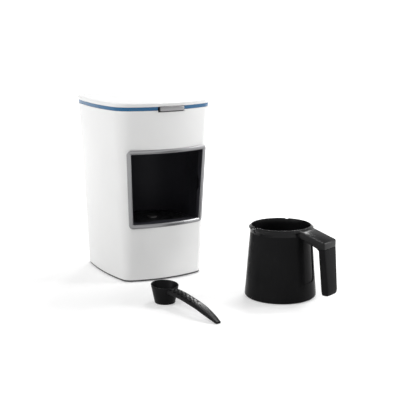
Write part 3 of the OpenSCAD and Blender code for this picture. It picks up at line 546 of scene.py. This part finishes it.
def make_casing():
    """White outer casing with its window, vents and screw bosses."""
    levels = [CASING_Z0, *range(8, 226, 6), BAND_Z0]
    casing = skin_band("outer_casing_shell", levels, 0, WALL)
    window = loft("window_cut", [[(x, y, z) for x, z in window_loop(WINDOW_LAP)] for y in FRONT_CUT_Y])
    button_gap = block(
        "button_cut", (-BUTTON_GAP_HW, -95, BUTTON_Z - 4.1), (BUTTON_GAP_HW, -60, BUTTON_Z + 5.9),
    )
    gland = rod("gland_cut", (GLAND_X, 68, GLAND_Z), GLAND_R, 20, "Y")
    low_vents = [vent_cutter(VENT_PITCH * i, VENT_LOW_Z) for i in range(1, 6)]
    high_vents = [vent_cutter(VENT_PITCH * i, VENT_HIGH_Z) for i in range(-5, 6)]
    cut(casing, window, button_gap, gland, *low_vents, *high_vents)
    cut(casing, rod("gland_seat", (GLAND_X, back_y(GLAND_X, GLAND_Z), GLAND_Z), GLAND_SEAT_R, 10, "Y"))
    bosses = []
    for side in (-1, 1):
        x0, x1 = sorted((BOSS_X * side, (BOSS_X + FIN_L) * side))
        for y in (BOSS_FRONT_Y, BOSS_BACK_Y):
            bosses.append(tube("boss", (BOSS_X * side, y, BOSS_Z0), BOSS_R, BOSS_BORE, BOSS_Z1 - BOSS_Z0))
            bosses.append(block("fin", (x0, y - 1, BOSS_Z0), (x1, y + 1, BOSS_Z1)))
    dress(joined(casing, *bosses), "body_white", "machine", "outer_casing")


def make_lid():
    """Domed white cover with a rounded rim and the skirt that drops into the casing.

    A row holds the height whose plan the ring takes, its distance inside the skin and its own height.
    """
    top, ceiling, skirt_out, skirt_in = MACHINE_H, 236.9, 3.2, 5.2
    inside = [(237, 60, ceiling), (237, 30, ceiling), (237, skirt_in, ceiling), (230, skirt_in, 230)]
    inside += [(SKIRT_Z0, skirt_in, SKIRT_Z0), (SKIRT_Z0, skirt_out, SKIRT_Z0)]
    inside += [(230, skirt_out, 230), (LID_Z0, skirt_out, LID_Z0)]
    rim = [(LID_Z0, 0.3, LID_Z0), (LID_Z0 + 0.3, 0, LID_Z0 + 0.3), (236.4, 0, 236.4), (237.4, 0.06, 237.4)]
    rim += [(top, 2.75 - 2.6 * math.cos(a), 237.2 + 2.1 * math.sin(a)) for a in (0.5, 0.8, 1.1, 1.35)]
    dome = [(top, 3.6, 239.45), (top, 6, 239.62), (top, 11, 239.78)]
    dome += [(top, inset, top - 0.14 * (1 - (inset - 20) / 50) ** 2) for inset in (20, 30, 42, 55, 70)]
    rings = [skin_ring(plan, inset, z) for plan, inset, z in inside + rim + dome]
    lid = loft("top_cover_shell", rings)
    notch = block("notch", (-19.5, -90, SKIRT_Z0 - 1), (19.5, -60, LID_Z0))
    spring_notch = block("spring_notch", (-5, -78.6, SKIRT_Z0), (5, -63.6, LID_Z0 + 1.8))
    cut(lid, notch)
    cut(lid, spring_notch)
    dress(lid, "body_white", "machine", "top_cover")


def make_band():
    """Blue band between the casing and the lid."""
    band = skin_band("accent_band_ring", [BAND_Z0, 231.5, LID_Z0], 0.9, 2.9, 0.2)
    cut(band, block("band_cut", (-BUTTON_GAP_HW, -90, BAND_Z0 - 1), (BUTTON_GAP_HW, -60, BAND_Z0 + 6)))
    dress(band, "band_blue", "machine", "accent_band")


def skin_y(x, z):
    """Outer surface of the casing beside the window, on the chord between two points of its plan."""
    front = sorted((px, py) for px, py, _ in skin_ring(z, 0) if py < -30)
    (x0, y0), (x1, y1) = next(pair for pair in zip(front, front[1:]) if pair[0][0] <= x <= pair[1][0])
    return mix(y0, y1, (x - x0) / (x1 - x0))


def make_window_frame():
    """Crowned silver trim, swept round the window, its underside sloped down to the casing.

    A row holds the distance inside the trim's edge, the depth behind the front and the share of the way from
    the front to the casing.
    """
    profile = (
        (0, 0.1, 0), (1.8, -0.05, 1), (1.8, 2.9, 0.5), (BORDER, 2.9, 0), (BORDER, 0.6, 0), (5.32, 0.3, 0),
        (5.08, 0.05, 0), (4.6, -0.22, 0), (4, -0.5, 0), (3.1, -0.72, 0), (2.2, -0.8, 0), (1.4, -0.79, 0),
        (0.8, -0.7, 0), (0.34, -0.52, 0), (0.1, -0.24, 0),
    )
    rings = [
        [(x, mix(front_y(x, z), skin_y(x, z), share) + depth, z) for x, z in window_loop(inset)]
        for inset, depth, share in profile
    ]
    dress(loft("window_frame_trim", rings, looped=True), "trim_silver", "machine", "window_frame")


def copy_of(node_name, name):
    """The node's own solid as a piece, its loose triangles merged."""
    source = frame["nodes"][node_name]
    piece = source.copy()
    piece.data = source.data.copy()
    for key in list(piece.keys()):
        del piece[key]
    piece.parent = None
    bpy.context.scene.collection.objects.link(piece)
    piece.name = piece.data.name = name
    pick(piece)
    bpy.ops.object.mode_set(mode="EDIT")
    bpy.ops.mesh.select_all(action="SELECT")
    bpy.ops.mesh.remove_doubles(threshold=WELD)
    bpy.ops.mesh.tris_convert_to_quads()
    bpy.ops.object.mode_set(mode="OBJECT")
    return piece


def make_button():
    """Satin bar with a bowed front, its stem and its two prongs."""
    back_y0, front_r, face_y = -77.8, 160, -83.3
    half = BUTTON_W / 2
    lean = math.degrees(math.asin(half / front_r))
    front = arc((0, face_y + front_r), front_r, 270 - lean, 270 + lean, 16)
    outline = front + [(half, back_y0), (-half, back_y0)]
    heights = (BUTTON_Z - BUTTON_H / 2, BUTTON_Z + BUTTON_H / 2)
    bar = loft("start_button_bar", [[(x, y, z) for x, y in outline] for z in heights])
    soften(bar, 0.7, 3)
    stem = rod("stem", (0, back_y0 - 1, BUTTON_Z), 2.4, 19.1, "Y")
    low, high = Vector((-1.5, back_y0 - 1, BUTTON_Z - 1.5)), Vector((1.5, back_y0 + 11, BUTTON_Z + 1.5))
    prongs = [soften(block("prong", low + Vector((x, 0, 0)), high + Vector((x, 0, 0))), 0.3) for x in (-13, 13)]
    dress(joined(bar, stem, *prongs), "trim_silver", "button", "start_button")


def make_hot_plate():
    """Turned heating plate with a flange and two studs below it, and the sprung sensor in its middle."""
    foot, top, bore = 69.5, 77.6, 7.06
    grooves = [(r + out, top - dip) for r in (12, 26) for out, dip in ((0, 0), (0.4, 0.25), (1.2, 0.25), (1.6, 0))]
    plate = lathe("hot_plate_disc", [
        (bore, foot), (bore, top - 0.5), (7.5, top), *grooves, (38.9, top), (39.6, top - 0.3), (40, top - 1),
        (40, foot + 2), (44, foot + 2), (44, foot), (bore, foot),
    ], 128)
    studs = [rod("stud", (x, 0, 61), 3, foot - 60, sides=32) for x in (-17, 17)]
    threads = [rod("thread", (x, 0, 55), 1.9, 8, sides=32) for x in (-17, 17)]
    place = (0, PLATE_Y, 0)
    dress(set_down(joined(plate, *studs, *threads), place), "plate_metal", "machine", "hot_plate")
    tip = top + 1.5
    sensor = lathe("temperature_sensor_cap", [
        (0, foot - 5.2), (4.6, foot - 5.2), (4.6, foot - 2.2), (8.4, foot - 2.2), (8.4, foot - 0.3),
        (7, foot - 0.3), (7, tip - 0.7), (6.8, tip - 0.25), (6.3, tip), (0, tip),
    ], 72)
    dress(set_down(sensor, place), "steel", "sensor", "temperature_sensor")


# ---------------------------------------------------------------- coffee pot

POT_X, POT_Y, HANDLE_ANGLE = 92.5, -198.5, -67.2
POT_H, POT_WALL, POT_FOOT_R, POT_TOP_R = 92, 2, 45.6, 38.3
COLLAR_Z0, COLLAR_Z1, COLLAR_R, COLLAR_BORE, MOUTH_BORE = 83.5, 90.6, 40.8, 36.95, 38.15
HANDLE_W, HANDLE_CORNER, HANDLE_BOW = 29.2, 2.4, 0.5
ARM_START, HANDLE_ROOT, HANDLE_END = 20, (36, COLLAR_Z1 + 0.75), (72.8, 80.3)
GRIP_IN_R, GRIP_TOP_Z, GRIP_SCREW_R = 63.7, 71.5, 67.8
LIP_ANGLES = (113, -113)


def pot_r(z):
    return mix(POT_FOOT_R, POT_TOP_R, z / POT_H)


def at_pot(piece):
    """Takes a piece from the pot's own axis to where the pot stands."""
    return set_down(piece, (POT_X, POT_Y, 0), HANDLE_ANGLE)


def turned(piece, angle):
    """Turns a piece round the pot's axis."""
    return set_down(piece, (0, 0, 0), angle)


def arm_top(x):
    """Height of the arm's top, a straight slope from the collar to the handle's end."""
    return mix(HANDLE_ROOT[1], HANDLE_END[1], (x - HANDLE_ROOT[0]) / (HANDLE_END[0] - HANDLE_ROOT[0]))


def arm_foot(x):
    """Height of the arm's underside."""
    line = ((ARM_START, 88.4), (HANDLE_ROOT[0], 82.3), (56.6, 74.4), (GRIP_IN_R, GRIP_TOP_Z), (80, GRIP_TOP_Z))
    for (x0, z0), (x1, z1) in zip(line, line[1:]):
        if x <= x1:
            return mix(z0, z1, (x - x0) / (x1 - x0))


def handle_section(r0, r1, half, corner, side_steps=24):
    """Plan of the handle between two distances from the pot's axis, with its outer end bowed."""
    side = half - corner
    middles = ((r1 - corner, side), (r0 + corner, side), (r0 + corner, -side), (r1 - corner, -side))
    corners = [arc(c, corner, 90 * k, 90 * k + 90, 6) for k, c in enumerate(middles)]
    ring = []
    for x, y in with_sides(corners, side_steps):
        out = max((x - r0) / (r1 - r0) - 0.5, 0) * 2
        ring.append((x - HANDLE_BOW * out * (y / half) ** 2, y))
    return ring


def pouring_channels():
    """Cutters that open the rim over each lip."""
    return [
        turned(rod("channel", (MOUTH_BORE, 0, POT_H - 5.5), 2.9, 6.5, foot_radius=0.4), angle)
        for angle in LIP_ANGLES
    ]


def make_vessel():
    """Inner cup with a sloping flange over the collar and a fine bead round its mouth."""
    outer, bore, rim_z0 = POT_WALL + 0.3, POT_WALL + 1.3, COLLAR_Z1 + 0.1
    cup = lathe("pot_vessel_cup", [
        (0, 3), (pot_r(3) - outer - 4, 3), (pot_r(6) - outer, 6), (pot_r(83) - outer, 83),
        (MOUTH_BORE - 0.2, rim_z0), (39.2, rim_z0), (39.3, rim_z0 + 0.1), (38.9, 91.15), (38.4, 91.52),
        (37.98, 91.83), (37.85, 91.93), (37.7, 91.99), (37.5, 92), (37.36, 91.93), (37.28, 91.8), (37.2, 91.5),
        (37.1, 91), (pot_r(83) - bore, 83), (pot_r(60) - bore, 60), (pot_r(30) - bore, 30), (pot_r(9) - bore, 9),
        (pot_r(6) - bore - 0.7, 6.1), (pot_r(4.6) - bore - 2.2, 4.6), (pot_r(4) - bore - 4, 4), (0, 4),
    ], 144)
    cut(cup, *pouring_channels())
    dress(at_pot(cup), "pot_gloss", "pot", "pot_vessel")


def make_shell():
    """Outer jacket with a rounded foot and the scooped panel for the fingers."""
    foot, ring = 3.4, 38.6
    sweep = arc((pot_r(foot) - foot, foot), foot, -90, 0, 10)
    shell = lathe("pot_shell_jacket", [
        (ring, 0), *sweep, (pot_r(20), 20), (pot_r(40), 40), (pot_r(60), 60), (pot_r(COLLAR_Z0), COLLAR_Z0),
        (pot_r(COLLAR_Z0) - POT_WALL, COLLAR_Z0), (pot_r(40) - POT_WALL, 40), (pot_r(4) - POT_WALL, 4), (ring, 3),
        (ring, 0),
    ], 144)
    half, low, r = HANDLE_W / 2 + 0.4, 23, 7
    outline = arc((half - r, low + r), r, -90, 0, 8) + [(half, 95), (-half, 95)]
    outline += arc((r - half, low + r), r, 180, 270, 8)
    panel = loft("panel_cut", [[(x, y, z) for y, z in outline] for x in (20, 60)])
    cut(panel, rod("panel_floor", (0, 0, 0), pot_r(100) - 1.3, 100, foot_radius=pot_r(0) - 1.3, sides=144))
    cut(shell, panel)
    dress(at_pot(shell), "pot_black", "pot", "pot_shell", angle=25)


def make_collar():
    """Collar ring with its two pouring lips and the arm of the handle."""
    ring = lathe("pot_collar_arm", [
        (COLLAR_BORE, COLLAR_Z0), (pot_r(COLLAR_Z0) + 0.1, COLLAR_Z0), (COLLAR_R - 1.3, COLLAR_Z1 - 3.8),
        (COLLAR_R - 0.2, COLLAR_Z1 - 2.1), (COLLAR_R - 0.05, COLLAR_Z1 - 1.6), (COLLAR_R, COLLAR_Z1 - 1.2),
        (COLLAR_R - 0.04, COLLAR_Z1 - 1.05), (COLLAR_R - 0.15, COLLAR_Z1 - 0.95),
        (COLLAR_R - 0.7, COLLAR_Z1 - 0.5), (COLLAR_R - 1.3, COLLAR_Z1 - 0.08), (COLLAR_R - 1.37, COLLAR_Z1 - 0.02),
        (COLLAR_R - 1.45, COLLAR_Z1), (MOUTH_BORE, COLLAR_Z1), (COLLAR_BORE, COLLAR_Z0),
    ], 144)
    lips = [
        turned(rod("lip", (COLLAR_R - 3, 0, 82), 4.2, COLLAR_Z1 - 82.3, foot_radius=0.8), angle)
        for angle in LIP_ANGLES
    ]
    lips = joined(*lips)
    cut(lips, rod("lip_bore", (0, 0, 80), MOUTH_BORE + 0.2, 12, sides=144))
    plan = handle_section(ARM_START, HANDLE_END[0], HANDLE_W / 2, HANDLE_CORNER)
    arm = loft("arm", [[(x, y, arm_foot(x)) for x, y in plan], [(x, y, arm_top(x)) for x, y in plan]])
    soften(arm, 1.1, 4, 60)
    cut(arm, rod("body_cone", (0, 0, 60), pot_r(100) + 0.12, 40, foot_radius=pot_r(60) + 0.12, sides=144))
    cut(ring, arm, operation="UNION")
    cut(ring, lips, operation="UNION")
    cut(ring, *pouring_channels())
    cut(ring, trim_plate("trim_pocket", 0.1, 3))
    bores = [
        rod("screw_bore", (GRIP_SCREW_R, 0, GRIP_TOP_Z - 1), 1.7, 12, sides=32),
        rod("head_bore", (GRIP_SCREW_R, 0, GRIP_TOP_Z + 5.1), 3.3, 6, sides=32),
    ]
    for bore in bores:
        cut(ring, bore)
    dress(at_pot(ring), "pot_gloss", "pot", "pot_collar")


def trim_plate(name, gap, rise):
    """Plate let into the top of the arm, or the pocket for it with a gap all round."""
    half, corner = HANDLE_W / 2 - 1.3 + gap, 1.4
    x0, x1 = 41.6 - gap, HANDLE_END[0] - 1.5 + gap
    plan = with_sides([
        arc((x1 - corner, half - corner), corner, 0, 90, 4),
        arc((x0 + corner, half - corner), corner, 90, 180, 4),
        arc((x0 + corner, corner - half), corner, 180, 270, 4),
        arc((x1 - corner, corner - half), corner, 270, 360, 4),
    ], 8)
    return loft(name, [[(x, y, arm_top(x) + lift) for x, y in plan] for lift in (-1.4 - gap, rise)])


def make_grip():
    """Hanging leg of the handle with rounded ends, and the plate on top of the arm.

    A station holds its height, its distances from the pot's axis, its half width and its corner radius.
    """
    half, end = HANDLE_W / 2, HANDLE_END[0]
    stations = [(13.4, 69.7, 75.9, 9.5, 1.6), (13.7, 69.05, 76.5, 10.4, 1.9), (14.1, 68.6, 76.9, 11, 2.2),
                (14.8, 68.25, 77.2, 11.5, 2.4), (15.6, 68, 77.4, 11.8, 2.6), (19, 67.4, 77.8, 12.2, 2.8)]
    for i in range(1, 8):
        t = i / 7
        stations.append((mix(19, GRIP_TOP_Z, t), mix(67.4, GRIP_IN_R, t), mix(77.8, end, t),
                         mix(12.2, half, t), mix(2.8, HANDLE_CORNER, t)))
    grip = loft("pot_grip_leg", [
        [(x, y, z) for x, y in handle_section(r0, r1, w, c, 8)] for z, r0, r1, w, c in stations
    ])
    cut(grip, rod("pilot", (GRIP_SCREW_R, 0, 50), 1.25, 30, sides=32))
    dress(at_pot(grip), "pot_black", "pot", "pot_grip", angle=40)
    plate = soften(trim_plate("pot_handle_plate", 0, 0), 0.3, 2)
    dress(at_pot(plate), "pot_black", "pot", "pot_handle_trim")


# ---------------------------------------------------------------- measuring spoon

SPOON_X, SPOON_Y, SPOON_ANGLE = -50.8, -156.5, -82
BOWL_TOP_R, BOWL_FOOT_R, BOWL_H, BOWL_TILT = 17.4, 13, 23, 5
SPOON_SKIN = 1.5
SPOON_STATIONS = (
    (10, 17.5, 7.6, 6.2), (14.4, 17.7, 7.6, 6.2), (24, 17.9, 7.6, 6), (40, 17, 7.4, 5.2), (56, 14.8, 7.2, 5),
    (72, 12.2, 6.9, 4.8), (86, 8.7, 6.2, 4.6), (98, 5.1, 5, 3.8), (108.4, 1.7, 3.5, 2.4),
)
SPOON_START, SPOON_TIP = SPOON_STATIONS[0][0], SPOON_STATIONS[-1][0]
CHEQUER_START, CHEQUER_END, CHEQUER_ROWS, CHEQUER_COLUMNS = 18, 66, 12, 5
CHEQUER_EDGE, CHEQUER_CELL_W = 0.9, 0.36
HANDLE_COLUMNS = (0.9, 0.54, 0.18, -0.18, -0.54, -0.9)


def spoon_station(x):
    """Height, half width and thickness of the handle at a distance from the bowl, on a smooth curve."""
    points = SPOON_STATIONS
    k = max(i for i in range(len(points) - 1) if x >= points[i][0] or i == 0)
    p0, p1, p2, p3 = (points[min(max(i, 0), len(points) - 1)] for i in (k - 1, k, k + 1, k + 2))
    t, span = (x - p1[0]) / (p2[0] - p1[0]), p2[0] - p1[0]
    row = []
    for j in (1, 2, 3):
        m1 = (p2[j] - p0[j]) / max(p2[0] - p0[0], 1) * span
        m2 = (p3[j] - p1[j]) / max(p3[0] - p1[0], 1) * span
        row.append((2 * t**3 - 3 * t**2 + 1) * p1[j] + (t**3 - 2 * t**2 + t) * m1
                   + (3 * t**2 - 2 * t**3) * p2[j] + (t**3 - t**2) * m2)
    return row


def spoon_ring(x, shrink=1.0, forward=0.0):
    """Section across the handle, square to its run."""
    z, half, thick = spoon_station(x)
    slope = spoon_station(min(x + 0.5, SPOON_TIP))[0] - spoon_station(max(x - 0.5, SPOON_START))[0]
    up = Vector((-slope, 1)).normalized()
    right = [(1, 0.1), (0.97, 0.28)]
    crown = [(side, 0.54 - 0.16 * side**2) for side in HANDLE_COLUMNS]
    left = [(-0.97, 0.28), (-1, 0.1), (-1, -0.2), (-0.97, -0.36), (-0.9, -0.44)]
    foot = [(-0.5, -0.5), (0, -0.5), (0.5, -0.5), (0.9, -0.44), (0.97, -0.36), (1, -0.2)]
    ring = []
    for side, lift in right + crown + left + foot:
        lift *= thick * shrink
        ring.append((x + forward + lift * up.x, side * half * shrink, z + lift * up.y))
    return ring


def make_spoon():
    """Black scoop with a tilted mouth and a bowed handle with a chequered grip."""
    bowl = lathe("measuring_spoon_scoop", [
        (0, 0), (BOWL_FOOT_R - 1.4, 0), (BOWL_FOOT_R - 0.7, 0.2), (BOWL_FOOT_R - 0.2, 0.7), (BOWL_FOOT_R, 1.4),
        (BOWL_TOP_R + 0.6, BOWL_H + 3), (BOWL_TOP_R + 0.7 - SPOON_SKIN, BOWL_H + 3),
        (BOWL_FOOT_R - SPOON_SKIN, SPOON_SKIN + 1.2), (BOWL_FOOT_R - SPOON_SKIN - 0.4, SPOON_SKIN + 0.4),
        (BOWL_FOOT_R - SPOON_SKIN - 1.2, SPOON_SKIN), (0, SPOON_SKIN),
    ], 96)
    pick(bowl)
    bpy.ops.object.mode_set(mode="EDIT")
    bpy.ops.mesh.select_all(action="SELECT")
    tilt = math.radians(BOWL_TILT)
    bpy.ops.mesh.bisect(
        plane_co=(0, 0, BOWL_H * MM), plane_no=(math.sin(tilt), 0, math.cos(tilt)), clear_outer=True,
    )
    bpy.ops.mesh.select_all(action="DESELECT")
    bpy.ops.mesh.select_non_manifold()
    bpy.ops.mesh.bridge_edge_loops()
    close_skin()
    soften(bowl, 0.35, 3, 40)

    step = (CHEQUER_END - CHEQUER_START) / CHEQUER_ROWS
    places = [*range(SPOON_START, CHEQUER_START, 2), *(CHEQUER_START + step * i for i in range(CHEQUER_ROWS + 1))]
    places += [mix(CHEQUER_END, SPOON_TIP, i / 16) for i in range(1, 17)]
    rings = [spoon_ring(x) for x in places] + [spoon_ring(SPOON_TIP, 0.92, 0.35), spoon_ring(SPOON_TIP, 0.75, 0.6)]
    handle = loft("handle", rings)
    press_chequers(handle, step)
    hollow = lathe("hollow", [
        (0, SPOON_SKIN - 0.5), (BOWL_FOOT_R - SPOON_SKIN + 0.3, SPOON_SKIN - 0.5),
        (BOWL_TOP_R + 0.6 - SPOON_SKIN, BOWL_H + 3), (0, BOWL_H + 3),
    ], 96)
    cut(handle, hollow)
    cut(bowl, handle, operation="UNION")
    bowl = set_down(bowl, (SPOON_X, SPOON_Y, 0), SPOON_ANGLE)
    dress(bowl, "spoon_black", "spoon", "measuring_spoon", angle=45)


def press_chequers(handle, step):
    """Presses every second cell of the handle's top into a small square dimple."""
    pick(handle)
    bpy.ops.object.mode_set(mode="EDIT")
    bpy.ops.mesh.select_mode(type="FACE")
    bpy.ops.mesh.select_all(action="DESELECT")
    mesh = bmesh.from_edit_mesh(handle.data)
    for face in mesh.faces:
        middle = face.calc_center_median() / MM
        half = spoon_station(min(max(middle.x, SPOON_START), SPOON_TIP))[1]
        row = math.floor((middle.x - CHEQUER_START + 0.4) / step)
        column = math.floor((middle.y / half + CHEQUER_EDGE) / CHEQUER_CELL_W)
        on_grid = 0 <= row < CHEQUER_ROWS and 0 <= column < CHEQUER_COLUMNS
        face.select = face.normal.z > 0.5 and on_grid and (row + column) % 2 == 0
    bmesh.update_edit_mesh(handle.data)
    bpy.ops.mesh.inset(thickness=0.25 * MM, depth=0, use_individual=True)
    bpy.ops.mesh.inset(thickness=0.3 * MM, depth=-0.8 * MM, use_individual=True)
    bpy.ops.mesh.select_mode(type="VERT")
    bpy.ops.object.mode_set(mode="OBJECT")


# ---------------------------------------------------------------- parts kept from the solids


def keep_node_finishes():
    """Gives every node that is still shown the finish of its material slot."""
    for row in frame["record"]["subparts"]:
        shown = frame["nodes"][row["node"]]
        shown.data.materials.clear()
        shown.data.materials.append(FINISHES[row["material_slot"]])


def make_smooth_copies():
    """Nodes with round faces that keep their form and only need them shaded as one."""
    for name, slot, body, width in (
        ("brewing_chamber", "liner_black", "machine", 0),
        ("base_plate", "base_grey", "machine", 0),
        ("rubber_feet", "rubber", "machine", 0),
        ("base_screws", "steel", "machine", 0),
        ("cord_gland", "part_black", "machine", 0.3),
        ("pot_base_disc", "plate_metal", "pot", 0),
        ("pot_base_ring", "pot_black", "pot", 0),
    ):
        piece = copy_of(name, name + "_form")
        if width:
            soften(piece, width)
        dress(piece, slot, body, name)


# ---------------------------------------------------------------- studio


LAMP_AIM = (0, -0.08, 0.1)
LAMPS = (
    ("left_softbox", (-2.247, -0.277, 0.941), 1.2, 13),
    ("right_softbox", (2.044, -1.033, 0.941), 1.2, 37),
    ("high_softbox", (-1.377, -0.08, 2.086), 1.2, 20),
    ("rim_softbox", (1.029, 0.467, 1.966), 0.5, 14),
    ("back_softbox", (1.207, 1.465, 1.019), 0.4, 11),
)
SURROUND_STRENGTH = 0.35
FLOOR_SIZE, FLOOR_Y = 120, 30
# Painted light on the floor: the glow is weak near the object and strong further out, so the far floor shows white
# and the floor near the object darker.
PAINTED_GLOW_NEAR, PAINTED_GLOW_FAR, PAINTED_GLOW_START, PAINTED_GLOW_END = 0.24, 0.8, 0.2, 0.9
WHITE = (1, 1, 1, 1)


def area_light(name, place, size, power):
    """Square soft box at a place, turned to the object."""
    clear()
    bpy.ops.object.light_add(type="AREA", location=place)
    lamp = bpy.context.object
    lamp.name = name
    lamp.data.shape = "RECTANGLE"
    lamp.data.size = lamp.data.size_y = size
    lamp.data.energy = power
    lamp.rotation_euler = (Vector(LAMP_AIM) - Vector(place)).to_track_quat("-Z", "Y").to_euler()


def make_studio():
    """White sweep of floor, white surround and the soft boxes."""
    clear()
    bpy.ops.mesh.primitive_plane_add(size=FLOOR_SIZE, location=(0, FLOOR_Y, 0))
    floor = bpy.context.object
    floor.name = "studio_floor"
    floor.data.materials.append(floor_finish())
    make_surround()
    for lamp in LAMPS:
        area_light(*lamp)


def make_surround():
    """World that lights the object softly and shows as plain white."""
    world = bpy.data.worlds.new("studio_surround")
    bpy.context.scene.world = world
    world.use_nodes = True
    tree = world.node_tree
    surround = tree.nodes["Background"]
    surround.inputs["Color"].default_value = WHITE
    surround.inputs["Strength"].default_value = SURROUND_STRENGTH
    plain = node(tree, "ShaderNodeBackground", Color=WHITE, Strength=1)
    blend = node(tree, "ShaderNodeMixShader")
    link(tree, seen_rays(tree), blend.inputs["Fac"])
    link(tree, surround.outputs["Background"], blend.inputs[1])
    link(tree, plain.outputs["Background"], blend.inputs[2])
    link(tree, blend.outputs["Shader"], tree.nodes["World Output"].inputs["Surface"])


def seen_rays(tree):
    """1 for rays from the camera, from gloss and through glass, and 0 for the rest."""
    path = node(tree, "ShaderNodeLightPath")
    total = path.outputs["Is Camera Ray"]
    for name in ("Is Glossy Ray", "Is Transmission Ray"):
        either = node(tree, "ShaderNodeMath", operation="MAXIMUM")
        link(tree, total, either.inputs[0])
        link(tree, path.outputs[name], either.inputs[1])
        total = either.outputs["Value"]
    return total


def floor_finish():
    """Pale floor that shows as white and still takes a soft shadow. Its glow is painted light that is weaker near
    the object and stronger further out: it whitens the far floor where the lamps fall off, and it leaves the floor
    near the object darker.
    """
    material = finish("studio_floor_paint", (0.78, 0.78, 0.78), (0.8, 0.8, 0.8), (0.85, 0.9), drift=2, grain=60)
    tree = material.node_tree
    painted_floor_glow = node(tree, "ShaderNodeEmission", Color=WHITE)
    away = node(tree, "ShaderNodeVectorMath", operation="LENGTH")
    link(tree, object_place(tree, shift=(0, FLOOR_Y, 0)), away.inputs[0])
    # painted light: the glow strength rises with distance from the object, which whitens the far floor and leaves
    # the floor near it darker
    rise = between(tree, away.outputs["Value"], PAINTED_GLOW_NEAR, PAINTED_GLOW_FAR, PAINTED_GLOW_START, PAINTED_GLOW_END)
    painted_glow_strength = node(tree, "ShaderNodeMath", operation="MULTIPLY")
    link(tree, seen_rays(tree), painted_glow_strength.inputs[0])
    link(tree, rise, painted_glow_strength.inputs[1])
    link(tree, painted_glow_strength.outputs["Value"], painted_floor_glow.inputs["Strength"])
    both = node(tree, "ShaderNodeAddShader")
    link(tree, surface_of(tree).outputs["BSDF"], both.inputs[0])
    link(tree, painted_floor_glow.outputs["Emission"], both.inputs[1])
    link(tree, both.outputs["Shader"], tree.nodes["Material Output"].inputs["Surface"])
    return material


# ---------------------------------------------------------------- the scene

bpy.context.scene.view_settings.view_transform = "Standard"
keep_node_finishes()
make_casing()
make_lid()
make_band()
make_window_frame()
make_button()
make_hot_plate()
make_vessel()
make_shell()
make_collar()
make_grip()
make_spoon()
make_smooth_copies()
make_studio()
clear()
